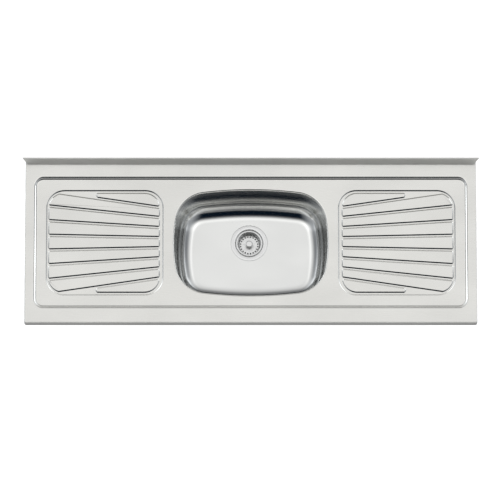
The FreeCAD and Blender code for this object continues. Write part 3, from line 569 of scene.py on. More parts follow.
def finish_piece(name, bm, material, body, node, sheet=0.0):
    """Makes a piece, thickened if it is a sheet, rides it on its body and lets it stand for its node."""
    for face in bm.faces:
        face.smooth = True
    for edge in bm.edges:
        edge.smooth = len(edge.link_faces) == 2 and edge.calc_face_angle() < SHARP_EDGE
    piece = link_mesh(name, bm, material)
    if sheet:
        piece.modifiers.new("sheet", "SOLIDIFY").thickness = sheet
    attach(piece, body)
    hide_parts(node)
    return piece


def add_turned(bm, corners, closed=True, segments=96, rounding=3):
    """Turns a path of (radius, height, rounding) corners about the waste's axis."""
    waste = Places().waste
    points = rounded_path(corners, rounding, closed)
    verts, edges = draw_path(bm, [waste + Vector((radius, 0, height)) for radius, height in points], closed)
    bmesh.ops.spin(bm, geom=verts + edges, cent=waste, axis=UP, angle=TURN, steps=segments, use_merge=True)


def turned(corners, closed=True, segments=96, rounding=3):
    """A turned solid on its own."""
    bm = bmesh.new()
    add_turned(bm, corners, closed, segments, rounding)
    close_seams(bm)
    return bm


def ring_profile(bore, radius, bottom, top, edge):
    return [(bore, bottom, edge), (radius, bottom, edge), (radius, top, edge), (bore, top, edge)]


def washer(node, bore, edge):
    """A flat ring with rounded edges that fills its node's box."""
    low, high = BOXES[node]
    return turned(ring_profile(bore, (high.y - low.y) / 2, low.z, high.z, edge))


def anticlockwise(verts, middle):
    return sorted(verts, key=lambda vert: math.atan2(vert.co.y - middle.y, vert.co.x - middle.x))


def add_circle(bm, radius, middle, count):
    """Adds a circle of corners, anticlockwise."""
    verts = bmesh.ops.create_circle(bm, segments=count, radius=radius)["verts"]
    bmesh.ops.translate(bm, vec=middle, verts=verts)
    return anticlockwise(verts, middle)


def add_block(bm, low, high, edge, segments=2):
    """Adds a block with rounded edges and gives its corners."""
    known = set(bm.verts)
    made = bmesh.ops.create_cube(bm, size=1)["verts"]
    bmesh.ops.scale(bm, vec=high - low, verts=made)
    bmesh.ops.translate(bm, vec=(low + high) / 2, verts=made)
    bevel(bm, list({link for vert in made for link in vert.link_edges}), edge, "EDGES", segments)
    return [vert for vert in bm.verts if vert not in known]


def add_spokes(bm, count, inner, outer, width, bottom, top, edge, segments=2):
    """Adds a ring of blocks round the waste's axis."""
    waste = Places().waste
    for index in range(count):
        low, high = waste + Vector((inner, -width / 2, bottom)), waste + Vector((outer, width / 2, top))
        verts = add_block(bm, low, high, edge, segments)
        bmesh.ops.rotate(bm, verts=verts, cent=waste, matrix=Matrix.Rotation(TURN * index / count, 3, "Z"))


def add_thread(bm, radius, top, bottom):
    """Winds one rib of a thread round the waste's axis."""
    waste, pitch = Places().waste, settings().waste.thread_pitch
    root = radius - settings().waste.thread_depth
    turns = int((top - bottom) / pitch) - 1
    rib = ((root, 0), (radius, CREST_FROM * pitch), (radius, CREST_TO * pitch), (root, pitch))
    verts, edges = draw_path(bm, [waste + Vector((out, 0, top - drop)) for out, drop in rib], closed=True)
    bmesh.ops.edgeloop_fill(bm, edges=edges)
    made = bmesh.ops.spin(
        bm,
        geom=verts + edges,
        cent=waste,
        axis=UP,
        dvec=-UP * pitch / THREAD_STEPS,
        angle=TURN * turns,
        steps=THREAD_STEPS * turns,
    )
    last = [item for item in made["geom_last"] if isinstance(item, bmesh.types.BMEdge)]
    bmesh.ops.edgeloop_fill(bm, edges=last)


# Materials


def set_up(tree, node, **values):
    """Sets or links a node's inputs by their names; a name that is no input sets a property of the node."""
    for key, value in values.items():
        name = key.replace("_", " ")
        target = next((item for item in node.inputs if item.name.lower() == name and item.enabled), None)
        if target is None:
            setattr(node, key, value)
        elif isinstance(value, bpy.types.NodeSocket):
            tree.links.new(value, target)
        else:
            target.default_value = value
    return node


def add_node(tree, kind, **values):
    return set_up(tree, tree.nodes.new(kind), **values)


def new_material(name):
    material = bpy.data.materials.new(name)
    material.use_nodes = True
    return material, material.node_tree


def dress(material, **values):
    """Sets or links the inputs of a material's own shader and gives the material."""
    tree = material.node_tree
    set_up(tree, tree.nodes["Principled BSDF"], **values)
    return material


def calculate(tree, operation, first, second=None):
    node = add_node(tree, "ShaderNodeMath", operation=operation)
    for socket, value in zip(node.inputs, (first, second)):
        if isinstance(value, bpy.types.NodeSocket):
            tree.links.new(value, socket)
        elif value is not None:
            socket.default_value = value
    return node.outputs[0]


def object_space(tree):
    return tree.nodes.new("ShaderNodeTexCoord").outputs["Object"]


def stretched_noise(tree, stretch, detail, place=(0, 0, 0), output="Fac"):
    """Noise in the object's own space, with so many waves to the metre along each axis."""
    mapping = add_node(tree, "ShaderNodeMapping", vector=object_space(tree), scale=stretch, location=place)
    noise = add_node(tree, "ShaderNodeTexNoise", vector=mapping.outputs[0], scale=1.0, detail=detail)
    return noise.outputs[output]


def even_noise(tree, waves, detail, output="Fac"):
    return stretched_noise(tree, (waves, waves, waves), detail, output=output)


def spread(tree, value, low, high, from_low=NOISE_LOW, from_high=NOISE_HIGH):
    """Maps a value, a noise unless told otherwise, to a range."""
    node = add_node(tree, "ShaderNodeMapRange", value=value, to_min=low, to_max=high)
    return set_up(tree, node, from_min=from_low, from_max=from_high).outputs["Result"]


def scaled(rgb, factor):
    return (*(min(1.0, part * factor) for part in rgb), 1)


def blend(tree, factor, rgb, dark, light):
    """Blends between a darker and a lighter form of a colour."""
    mixed = add_node(
        tree, "ShaderNodeMix", data_type="RGBA", factor=factor, a=scaled(rgb, dark), b=scaled(rgb, light)
    )
    return mixed.outputs["Result"]


def bump(tree, height, strength, distance):
    return add_node(tree, "ShaderNodeBump", height=height, strength=strength, distance=distance).outputs[0]


def satin_steel(name, rgb, roughness, grain=0.02, coarse_above=None, coarser=0.0):
    """Satin stainless steel: fine grain along X and a soft mottling, coarser above a height if told so."""
    material, tree = new_material(name)
    fine = stretched_noise(tree, stretch=(25, 2400, 2400), detail=2.0)
    mottle = stretched_noise(tree, stretch=(5, 9, 9), detail=2.0, place=(0.3, 0.1, 0))
    rough = spread(tree, fine, roughness - grain, roughness + grain)
    if coarse_above is not None:
        height = add_node(tree, "ShaderNodeSeparateXYZ", vector=object_space(tree)).outputs["Z"]
        raised = spread(tree, height, 0, coarser, from_low=coarse_above, from_high=coarse_above + 2 * MM)
        rough = calculate(tree, "ADD", rough, raised)
    return dress(
        material,
        base_color=blend(tree, spread(tree, mottle, 0, 1), rgb, dark=0.96, light=1.035),
        metallic=1.0,
        roughness=rough,
        normal=bump(tree, fine, strength=0.02, distance=0.02 * MM),
    )


def polished_metal(name, rgb, roughness):
    """Polished metal with faint wipe marks."""
    material, tree = new_material(name)
    marks = stretched_noise(tree, stretch=(140, 140, 60), detail=4.0)
    rough = spread(tree, marks, low=roughness * 0.7, high=roughness * 1.5)
    return dress(material, base_color=(*rgb, 1), metallic=1.0, roughness=rough)


def chipboard_material(name, rgb):
    """Pressed chipboard: pale and dark flakes lying in all directions under a thin sealer."""
    material, tree = new_material(name)
    wander = even_noise(tree, waves=90, detail=2.0, output="Color")
    place = add_node(tree, "ShaderNodeMix", data_type="VECTOR", factor=0.006, a=object_space(tree), b=wander)
    flakes = add_node(tree, "ShaderNodeTexVoronoi", vector=place.outputs["Result"], scale=330.0).outputs
    fine = even_noise(tree, waves=700, detail=3.0)
    separate = add_node(tree, "ShaderNodeSeparateColor", color=flakes["Color"])
    ramp = add_node(tree, "ShaderNodeValToRGB", fac=separate.outputs[0])
    tones = ramp.color_ramp.elements
    tones[0].color = scaled(rgb, 0.55)
    tones[1].color = scaled(rgb, 1.45)
    tones.new(0.5).color = (*rgb, 1)
    return dress(
        material,
        base_color=ramp.outputs["Color"],
        roughness=spread(tree, fine, low=0.6, high=0.85),
        normal=bump(tree, flakes["Distance"], strength=0.35, distance=0.4 * MM),
    )


def zinc_material(name, rgb):
    """Galvanised sheet with its spangle of crystals."""
    material, tree = new_material(name)
    crystals = add_node(tree, "ShaderNodeTexVoronoi", vector=object_space(tree), scale=110.0)
    separate = add_node(tree, "ShaderNodeSeparateColor", color=crystals.outputs["Color"]).outputs
    return dress(
        material,
        base_color=blend(tree, separate[0], rgb, dark=0.8, light=1.2),
        metallic=1.0,
        roughness=spread(tree, separate[1], low=0.32, high=0.5, from_low=0, from_high=1),
    )


def bitumen_material(name, rgb):
    """Matt bitumen sheet, finely pitted."""
    material, tree = new_material(name)
    pits = even_noise(tree, waves=900, detail=4.0)
    cloud = even_noise(tree, waves=30, detail=3.0)
    return dress(
        material,
        base_color=blend(tree, spread(tree, cloud, 0, 1), rgb, dark=0.75, light=1.5),
        roughness=0.82,
        normal=bump(tree, pits, strength=0.5, distance=0.3 * MM),
    )


def rubber_material(name, rgb):
    """Moulded black rubber with a faint bloom."""
    material, tree = new_material(name)
    bloom = even_noise(tree, waves=220, detail=4.0)
    tone = blend(tree, spread(tree, bloom, 0, 1), rgb, dark=1.0, light=1.9)
    return dress(material, base_color=tone, roughness=spread(tree, bloom, low=0.5, high=0.68))


def card_material(name, rgb):
    """Pressed fibre card with short fibres."""
    material, tree = new_material(name)
    fibres = stretched_noise(tree, stretch=(500, 1400, 900), detail=5.0)
    tone = blend(tree, spread(tree, fibres, 0, 1), rgb, dark=0.75, light=1.2)
    return dress(material, base_color=tone, roughness=0.9)


def plastic_material(name, rgb):
    """Moulded plastic with a fine eroded grain."""
    material, tree = new_material(name)
    grain = even_noise(tree, waves=1500, detail=2.0)
    return dress(
        material,
        base_color=(*rgb, 1),
        roughness=spread(tree, grain, low=0.38, high=0.5),
        normal=bump(tree, grain, strength=0.12, distance=0.1 * MM),
    )


def floor_material(name, rgb):
    """Pale studio floor, faintly lit from within to soften shadows, and clear when seen from below."""
    material, tree = new_material(name)
    white = (1, 1, 1, 1)
    dress(material, base_color=(*rgb, 1), roughness=0.9, emission_color=white, emission_strength=0.9)
    mixed = tree.nodes.new("ShaderNodeMixShader")
    parts = (
        tree.nodes.new("ShaderNodeNewGeometry").outputs["Backfacing"],
        tree.nodes["Principled BSDF"].outputs[0],
        tree.nodes.new("ShaderNodeBsdfTransparent").outputs[0],
    )
    for part, socket in zip(parts, mixed.inputs):
        tree.links.new(part, socket)
    set_up(tree, tree.nodes["Material Output"], surface=mixed.outputs[0])
    return material


# Pressed top


def drainer_plate(bm, side, at_end, at_bowl, at_sides, radius):
    """Adds a rounded plate inset from a drainer's outline at its end, at the bowl and along its sides."""
    places = Places()
    low_x, high_x = sorted((side * (places.drainer_outer - at_end), side * (places.drainer_inner + at_bowl)))
    half = places.drainer_half - at_sides
    low, high = (low_x, places.middle_y - half), (high_x, places.middle_y + half)
    return rectangle(bm, low, high, places.panel_level, radius, segments=12)


def add_drainer(bm, side):
    """Presses one drainer, a rim channel round pads that fanned channels part, and gives its outer ring."""
    drainer, places = settings().drainer, Places()
    step = pressed_step(drainer.flank_run, drainer.depth, drainer.flank_bend)
    grown = places.flank_spread + FLAT_STRIP
    outer = open_ring(bm, drainer_plate(bm, side, -grown, -grown, -grown, drainer.corner + grown))
    floor = sweep(bm, outer, step, inwards=True)
    inset = 2 * drainer.flank_middle + places.flank_spread
    at_side = drainer.rim_at_side + inset
    plate = drainer_plate(
        bm, side, drainer.rim_at_end + inset, drainer.rim_at_bowl + inset, at_side, drainer.corner - at_side
    )
    feet = []
    for pad in cut_pads(bm, plate, side):
        ring = list(pad.verts)
        bmesh.ops.inset_individual(bm, faces=[pad], thickness=2 * FLAT_STRIP, use_even_offset=True)
        feet.append(sweep(bm, ring, step[1:]))
    fill_flat(bm, floor, *feet)
    return outer


def fan_line(number, side):
    """Two places on the middle line of a fanned channel, at the far end and beside the bowl."""
    drainer, places = settings().drainer, Places()
    far = (places.drainer_outer - drainer.rim_at_end / 2, drainer.fan_far_margin)
    near = (places.drainer_inner + drainer.rim_at_bowl / 2, drainer.fan_near_margin)
    line = []
    for x, margin in (far, near):
        y = places.middle_y + (places.drainer_half - margin) * number / places.outer_channel
        line.append(Vector((x * side, y, places.panel_level)))
    return line


def line_offset(place, number, side):
    """How far a place lies from a channel's middle line, along Y."""
    far, near = fan_line(number, side)
    part = (place.x - far.x) / (near.x - far.x)
    return place.y - (far.y + (near.y - far.y) * part)


def beyond_fan(place, side):
    """True for a place outside both outermost channels."""
    outer = Places().outer_channel
    return line_offset(place, outer, side) > 0 or line_offset(place, -outer, side) < 0


def cut(bm, faces, place, normal):
    """Cuts faces by a plane and gives the faces on both sides."""
    parts = dict.fromkeys(part for face in faces for part in (*face.edges, *face.verts))
    made = bmesh.ops.bisect_plane(bm, geom=[*faces, *parts], dist=SEAM_GAP, plane_co=place, plane_no=normal)
    fresh = [item for item in made["geom"] if isinstance(item, bmesh.types.BMFace)]
    return list(dict.fromkeys([face for face in faces if face.is_valid] + fresh))


def round_pad(bm, pad, radius, chosen):
    """Rounds the chosen sharp corners of a flat pad and gives the pad."""
    sharp = [loop.vert for loop in pad.loops if math.pi - loop.calc_angle() > SHARP_CORNER]
    for vert in sharp:
        if chosen(vert.co):
            pad = round_corner(bm, vert, radius, segments=5)[0].link_faces[0]
    return pad


def cut_wedge(bm, pad, wedge_x, side):
    """Cuts the far part off a pad outside the fan and rounds its blunt end."""
    halves = cut(bm, [pad], Vector((wedge_x * side, 0, 0)), Vector((side, 0, 0)))
    far_part = max(halves, key=lambda face: face.calc_center_median().x * side)
    halves.remove(far_part)
    bmesh.ops.delete(bm, geom=[far_part], context="FACES")
    corner = settings().drainer.wedge_corner
    return round_pad(bm, halves[0], corner, lambda co: abs(co.x - wedge_x * side) < MM)


def cut_pads(bm, plate, side):
    """Cuts a drainer's plate along both sides of every channel and keeps the pads between them."""
    drainer, places = settings().drainer, Places()
    numbers = [count - places.outer_channel for count in range(drainer.channels)]
    half_width = drainer.channel_width / 2 + places.flank_spread
    pieces = [plate]
    for number in numbers:
        far, near = fan_line(number, side)
        along = (near - far).normalized()
        for shift in (-half_width, half_width):
            pieces = cut(bm, pieces, far + Vector((0, shift, 0)), Vector((-along.y, along.x, 0)))
    pads, gaps = [], []
    for piece in pieces:
        middle = piece.calc_center_median()
        in_channel = any(abs(line_offset(middle, number, side)) < half_width for number in numbers)
        (gaps if in_channel else pads).append(piece)
    bmesh.ops.delete(bm, geom=gaps, context="FACES")
    wedge_x = places.drainer_outer - (places.drainer_outer - places.drainer_inner) * drainer.wedge_end
    reaches = []
    for index, pad in enumerate(pads):
        wedge = beyond_fan(pad.calc_center_median(), side)
        if wedge:
            pads[index] = cut_wedge(bm, pad, wedge_x, side)
        reaches.append(wedge_x - BLUNT_END if wedge else math.inf)
    for index, reach in enumerate(reaches):
        pad = round_pad(bm, pads[index], drainer.pad_corner, lambda co: abs(co.x) < reach)
        if pad.normal.z < 0:
            pad.normal_flip()
        pads[index] = pad
    return pads


def add_upstand(bm, row):
    """Raises the upstand from its foot line: cove, leaning face, rolled head and back, with flared ends."""
    deck, places = settings().deck, Places()
    level, back = places.deck_level, places.deck_back
    head_y, head_z = back + deck.upstand_lean, level + deck.upstand_height
    corners = [
        (row[0].co.y, level, 0),
        (back, level, deck.upstand_cove),
        (head_y, head_z, deck.upstand_roll),
        (places.wall_y, head_z, deck.upstand_roll),
        (places.wall_y, level, 0),
    ]
    for y, z in rounded_path(corners, segments=5)[1:]:
        rise = (z - level) / deck.upstand_height
        face_y = back + deck.upstand_lean * rise
        depth_share = min(1.0, max(0.0, (y - face_y) / (places.wall_y - face_y)))
        front_x = places.half_length - deck.upstand_foot_inset
        front_x += (deck.upstand_foot_inset + deck.upstand_front_flare) * rise
        back_x = places.fold_x + (places.half_length + deck.upstand_back_flare - places.fold_x) * rise
        x = front_x + (back_x - front_x) * depth_share
        row = carry(bm, row, [Vector((x, y, z)), Vector((-x, y, z))], closed=False)


def open_edges(bm, chosen):
    """The edges of one face only whose corners are both chosen."""
    return [edge for edge in bm.edges if edge.is_boundary and all(chosen(vert.co) for vert in edge.verts)]


def close_upstand(bm):
    """Closes the back below the upstand, and then its flared ends."""
    places = Places()
    level, wall, foot = places.deck_level, places.wall_y - TOUCHING, places.deck_back - FOOT_SEARCH
    back = open_edges(bm, lambda co: co.y > wall and co.z < level + TOUCHING)
    low = [vert for edge in back for vert in edge.verts if vert.co.z < TOUCHING]
    low.sort(key=lambda vert: vert.co.x)
    back.append(bm.edges.new((low[0], low[-1])))
    bmesh.ops.edgeloop_fill(bm, edges=back)
    end = places.half_length - END_SEARCH
    for side in (-1, 1):
        rim = open_edges(bm, lambda co: co.x * side > end and co.y > foot and co.z > level - TOUCHING)
        bmesh.ops.edgeloop_fill(bm, edges=rim)


def bowed_ring(bm, growth, level):
    """Draws the bowl's outline, anticlockwise: four shallow bows joined by four corner arcs."""
    bowl, places = settings().bowl, Places()
    end_bow, side_bow, corner = bowl.end_bow + growth, bowl.side_bow + growth, bowl.corner + growth
    end_x = places.bowl_half_x + growth - end_bow
    side_y = places.bowl_half_y + growth - side_bow
    reach_end, reach_side = end_bow - corner, side_bow - corner
    span = math.hypot(end_x, side_y)
    along = (reach_end**2 - reach_side**2 + span**2) / (2 * span)
    across = math.sqrt(reach_end**2 - along**2)
    toward_x, toward_y = -end_x / span, side_y / span
    corner_x = end_x + along * toward_x - across * toward_y
    corner_y = along * toward_y + across * toward_x
    end_swing = math.atan2(corner_y, corner_x - end_x)
    side_swing = math.atan2(corner_y - side_y, corner_x)
    corner_swing = side_swing - end_swing
    arcs = (
        (end_x, 0, 2 * end_swing, END_STEPS),
        (corner_x, corner_y, corner_swing, CORNER_STEPS),
        (0, side_y, math.pi - 2 * side_swing, SIDE_STEPS),
        (-corner_x, corner_y, corner_swing, CORNER_STEPS),
    )
    start = Vector((end_x + end_bow * math.cos(end_swing), -end_bow * math.sin(end_swing), 0))
    middle = Vector((0, places.middle_y, level))
    ring = [bm.verts.new(middle + start)]
    for x, y, angle, steps in arcs + tuple((-x, -y, angle, steps) for x, y, angle, steps in arcs):
        known = len(bm.verts)
        centre = middle + Vector((x, y, 0))
        bmesh.ops.spin(bm, geom=[ring[-1]], cent=centre, axis=UP, angle=angle, steps=steps)
        bm.verts.ensure_lookup_table()
        ring += bm.verts[known:]
    bmesh.ops.weld_verts(bm, targetmap={ring[-1]: ring[0]})
    return ring[:-1]


def build_top():
    """Models the pressed top as one sheet."""
    deck, places = settings().deck, Places()
    bm = bmesh.new()
    radius = deck.fold_radius
    fold = radius + FLAT_STRIP
    border = rectangle(
        bm,
        (-places.fold_x, places.deck_front + fold),
        (places.fold_x, places.wall_y),
        places.deck_level,
        deck.deck_corner - fold,
        segments=6,
        rounded=lambda co: co.y < places.middle_y,
    )
    ring = open_ring(bm, border)
    start = next(index for index, vert in enumerate(ring) if vert.co.x < 0 and vert.co.y > places.deck_back)
    chain = ring[start:] + ring[:start]
    bm.edges.remove(bm.edges.get((chain[0], chain[-1])))
    apron = [(-FLAT_STRIP, 0, 0), (radius, 0, radius), (radius, -deck.apron_height, 0)]
    sweep(bm, chain, rounded_path(apron), closed=False)
    foot_x = places.half_length - deck.upstand_foot_inset
    foot_y = places.deck_back - deck.upstand_cove - FLAT_STRIP
    right, left = (bm.verts.new((side * foot_x, foot_y, places.deck_level)) for side in (1, -1))
    for pair in ((chain[-1], right), (right, left), (left, chain[0])):
        bm.edges.new(pair)
    add_upstand(bm, [right, left])
    panel = rectangle(
        bm,
        (-places.panel_x - FLAT_STRIP, places.panel_front - FLAT_STRIP),
        (places.panel_x + FLAT_STRIP, places.panel_back + FLAT_STRIP),
        places.deck_level,
        deck.panel_corner + FLAT_STRIP,
        segments=10,
    )
    panel_ring = open_ring(bm, panel)
    fill_flat(bm, chain + [right, left], panel_ring)
    step = pressed_step(deck.panel_run, deck.panel_drop, deck.panel_bend)
    panel_foot = sweep(bm, panel_ring, step, inwards=True)
    drainers = [add_drainer(bm, side) for side in (-1, 1)]
    lip_width = deck.lip_radius + FLAT_STRIP
    lip = bowed_ring(bm, lip_width, places.panel_level)
    fill_flat(bm, panel_foot, lip, *drainers)
    collar = [(0, 0, 0), (lip_width, 0, deck.lip_radius), (lip_width, -deck.lip_depth, 0)]
    sweep(bm, lip, rounded_path(collar, segments=8), inwards=True)
    bmesh.ops.remove_doubles(bm, verts=bm.verts, dist=WELD_GAP)
    close_upstand(bm)
    face_outwards(bm, (0, places.deck_back - deck.border_back / 2, places.deck_level))
    return bm


def mark_rubbed_slopes(bm):
    """Gives the second finish to the slopes round the panel, in the drainers and at the bowl's lip."""
    places = Places()
    low, high = places.panel_level - settings().drainer.depth - MM, places.deck_level + MM
    front, back = places.panel_front - MM, places.panel_back + MM
    for face in bm.faces:
        middle = face.calc_center_median()
        in_panel = abs(middle.x) < places.panel_x + MM and front < middle.y < back
        if in_panel and low < middle.z < high and face.normal.z < RUBBED_LEAN:
            face.material_index = 1


class SINK_OT_pressed_top(bpy.types.Operator):
    """Model the pressed top with its aprons, upstand, sunk panel and fanned drainers"""

    bl_idname = "sink.pressed_top"
    bl_label = "Pressed top"

    def execute(self, context):
        finish, sheet = settings().finish, settings().deck.sheet
        steel = satin_steel(
            "satin_sheet",
            finish.steel,
            finish.steel_roughness,
            grain=0.025,
            coarse_above=Places().deck_level,
            coarser=finish.upstand_coarser,
        )
        top = build_top()
        mark_rubbed_slopes(top)
        piece = finish_piece("pressed_top", top, steel, "sink", "sink_top", sheet)
        piece.data.materials.append(satin_steel("rubbed_sheet", finish.steel, finish.rubbed_roughness))
        return {"FINISHED"}


# Bowl


def build_bowl():
    """Models the deep-drawn bowl: leaning walls, round bottom, a floor falling to the waste, and a seat."""
    bowl, places = settings().bowl, Places()
    bm = bmesh.new()
    mouth = bowed_ring(bm, 0, places.seam_level)
    depth = places.seam_level - places.floor_level
    foot = depth * math.tan(bowl.draft)
    wall = [(0, 0, 0), (foot, -depth, bowl.bottom_radius), (foot + bowl.bottom_radius, -depth, 0)]
    floor = sweep(bm, mouth, rounded_path(wall, segments=16), inwards=True)
    reach, level = bowl.seat_radius + bowl.seat_bend, places.floor_level - bowl.floor_fall
    starts = [vert.co.copy() for vert in floor]
    ends = [places.waste + way * reach + UP * level for way in ways_out(floor)]
    for step in range(1, FLOOR_STEPS + 1):
        floor = carry(bm, floor, [start.lerp(end, step / FLOOR_STEPS) for start, end in zip(starts, ends)])
    edge = pressed_step(SEAT_STEP * bowl.seat_bend, bowl.seat_depth - bowl.floor_fall, bowl.seat_bend)
    seat = sweep(bm, floor, edge, inwards=True)
    carry_round(bm, seat, [(bowl.hole_radius, seat[0].co.z)])
    beside_seat = Vector((100 * MM, -50 * MM, places.floor_level))
    face_outwards(bm, places.waste + beside_seat)
    return bm


class SINK_OT_bowl(bpy.types.Operator):
    """Model the deep-drawn bowl"""

    bl_idname = "sink.bowl"
    bl_label = "Bowl"

    def execute(self, context):
        finish, sheet = settings().finish, settings().deck.sheet
        steel = satin_steel("satin_bowl", finish.bowl_steel, finish.bowl_roughness)
        finish_piece("drawn_bowl", build_bowl(), steel, "sink", "bowl", sheet)
        return {"FINISHED"}


# Battens, stiffeners and sound pads


class SINK_OT_battens(bpy.types.Operator):
    """Model the chipboard battens glued under the top"""

    bl_idname = "sink.battens"
    bl_label = "Battens"

    def execute(self, context):
        board = chipboard_material("chipboard", settings().finish.chipboard)
        for name in ("front", "rear", "left_end", "right_end", "left_cross", "right_cross"):
            node = f"{name}_batten"
            bm = bmesh.new()
            add_block(bm, *BOXES[node], settings().underside.batten_edge)
            finish_piece(f"board_{name}", bm, board, "sink", node)
        return {"FINISHED"}


def build_stiffener(node):
    """Folds a hat stiffener: two flanges, two walls and a crown."""
    underside = settings().underside
    low, high = BOXES[node]
    middle, half = (low.x + high.x) / 2, (high.x - low.x) / 2
    crown = half - underside.hat_flange
    foot, bend = low.z + underside.hat_sheet, underside.hat_bend
    hat = [(half, foot, 0), (crown, foot, bend - underside.hat_sheet), (crown, high.z, bend)]
    hat += [(-across, up, radius) for across, up, radius in reversed(hat)]
    profile = rounded_path(hat, segments=4)
    bm = bmesh.new()
    verts, _ = draw_path(bm, [(middle + across, low.y, up) for across, up in profile])
    carry(bm, verts, [Vector((vert.co.x, high.y, vert.co.z)) for vert in verts], closed=False)
    face_outwards(bm, (middle, (low.y + high.y) / 2, high.z))
    return bm


class SINK_OT_stiffeners(bpy.types.Operator):
    """Model the galvanised hat stiffeners under the drainers"""

    bl_idname = "sink.stiffeners"
    bl_label = "Stiffeners"

    def execute(self, context):
        zinc = zinc_material("zinc", settings().finish.zinc)
        sheet = settings().underside.hat_sheet
        for side in ("left", "right"):
            node = f"{side}_stiffener"
            finish_piece(f"hat_{side}", build_stiffener(node), zinc, "sink", node, sheet)
        return {"FINISHED"}


def build_sound_pad(node):
    """Lays a bitumen pad: a flat sheet with round corners and softened edges."""
    low, high = BOXES[node]
    edge, corner = settings().underside.pad_edge, settings().underside.pad_corner
    inner_low, inner_high = (low.x + edge, low.y + edge), (high.x - edge, high.y - edge)
    bm = bmesh.new()
    inner = rectangle(bm, inner_low, inner_high, low.z, corner - edge, segments=6)
    path = rounded_path([(0, 0, 0), (edge, 0, edge), (edge, high.z - low.z, 0)], segments=3)
    upper = sweep(bm, list(inner.verts), path)
    bmesh.ops.edgeloop_fill(bm, edges=ring_edges(bm, upper))
    close_seams(bm)
    return bm


class SINK_OT_sound_pads(bpy.types.Operator):
    """Model the bitumen sound pads under the drainers and the bowl"""

    bl_idname = "sink.sound_pads"
    bl_label = "Sound pads"

    def execute(self, context):
        bitumen = bitumen_material("bitumen", settings().finish.bitumen)
        for name in ("left_drainer", "right_drainer", "left_bowl", "right_bowl"):
            node = f"{name}_pad"
            finish_piece(f"damping_{name}", build_sound_pad(node), bitumen, "sink", node)
        return {"FINISHED"}


# Strainer and outlet


def build_strainer():
    """Turns the strainer body: flange, threaded barrel, cup and threaded outlet with its guide spider."""
    waste = settings().waste
    low, high = BOXES["drain_body"]
    top, end, radius = high.z, low.z, (high.y - low.y) / 2
    under_flange = top - waste.flange_edge
    ledge = top - waste.ledge_depth
    floor = top - waste.cup_depth
    slope = floor + waste.cup_bevel
    underside = floor - waste.cup_wall
    inner = waste.cup_radius - waste.cup_bevel
    outer = waste.cup_radius + waste.cup_wall
    barrel = waste.thread_radius - waste.thread_depth
    barrel_end = under_flange - waste.thread_length
    spigot = waste.spigot_radius - waste.thread_depth
    half_pitch = waste.thread_pitch / 2
    bm = bmesh.new()
    add_thread(bm, waste.thread_radius, under_flange - half_pitch, barrel_end)
    add_thread(bm, waste.spigot_radius, underside - half_pitch, end + half_pitch)
    inside = [
        (waste.throat_radius, top, THROAT_ROLL),
        (waste.throat_radius, ledge, FINE),
        (waste.cup_radius, ledge, FULL),
        (waste.cup_radius, slope, CUP_BEND_INSIDE),
        (inner, floor, CUP_BEND_INSIDE),
        (waste.outlet_radius, floor, BROAD),
        (waste.outlet_radius, end, FINE),
    ]
    outside = [
        (spigot, end, FINE),
        (spigot, underside, FULL),
        (inner, underside, CUP_BEND_OUTSIDE),
        (outer, slope, CUP_BEND_OUTSIDE),
        (outer, barrel_end, 0),
        (barrel, barrel_end, KEEN),
        (barrel, under_flange, KEEN),
        (radius - SOFT, under_flange, KEEN),
        (radius, under_flange + SOFT, FINE),
        (radius, top, SOFT),
    ]
    add_turned(bm, inside + outside, rounding=4)
    add_spider(bm, floor - waste.spider_drop)
    close_seams(bm)
    return bm


def add_spider(bm, top):
    """Adds the bars and the hub that guide the stem below the cup."""
    waste = settings().waste
    bottom, hub, bore = top - waste.spider_height, waste.spider_hub, waste.spider_bore
    add_turned(bm, ring_profile(bore, hub, bottom, top, EASED), segments=32)
    reach = (waste.outlet_radius + waste.spigot_radius - waste.thread_depth) / 2
    add_spokes(bm, waste.bars, (hub + bore) / 2, reach, waste.spider_bar, bottom, top, EASED)


def mark_shaded_rough_inside(bm):
    """Gives the inside of the cup and the outlet the second finish: a darker colour that paints the shade
    there, and the rougher finish that the maker leaves without polish.
    """
    waste, middle = settings().waste, Places().waste
    reach, top = waste.cup_radius + FLAT_STRIP, BOXES["drain_body"][1].z - waste.ledge_depth - FLAT_STRIP
    for face in bm.faces:
        away = face.calc_center_median() - middle
        height, away.z = away.z, 0
        looks_in = face.normal.z > FACING or face.normal.dot(away) < -FACING * away.length
        if away.length < reach and height < top and looks_in:
            face.material_index = 1


class SINK_OT_strainer(bpy.types.Operator):
    """Model the strainer body that sits in the bowl"""

    bl_idname = "sink.strainer"
    bl_label = "Strainer body"

    def execute(self, context):
        finish = settings().finish
        polished = polished_metal("polished_strainer", finish.polished, finish.strainer_roughness)
        body = build_strainer()
        mark_shaded_rough_inside(body)
        piece = finish_piece("strainer", body, polished, "sink", "drain_body")
        # Painted shade: a darker steel colour for the inside of the cup, besides its real, rougher finish
        inside = polished_metal("shaded_rough_cup", finish.shaded_cup_steel, finish.unpolished_roughness)
        piece.data.materials.append(inside)
        return {"FINISHED"}


def build_lock_nut():
    """Turns the lock nut's ring and sets its lugs round it."""
    waste = settings().waste
    low, high = BOXES["lock_nut"]
    radius, flange, bore = waste.lock_nut_radius, waste.lock_nut_flange, waste.thread_radius + THREAD_PLAY
    shoulder = high.z - waste.lock_nut_flange_height
    ring = [
        (bore, low.z, FULL),
        (radius, low.z, BROAD),
        (radius, shoulder, FULL),
        (flange, shoulder, FULL),
        (flange, high.z, SOFT),
        (bore, high.z, SOFT),
    ]
    bm = bmesh.new()
    add_turned(bm, ring)
    reach = (high.x - low.x) / 2
    lug = waste.lock_nut_lug
    add_spokes(bm, waste.lugs, (bore + radius) / 2, reach, lug, low.z, high.z, BROAD, segments=3)
    close_seams(bm)
    return bm


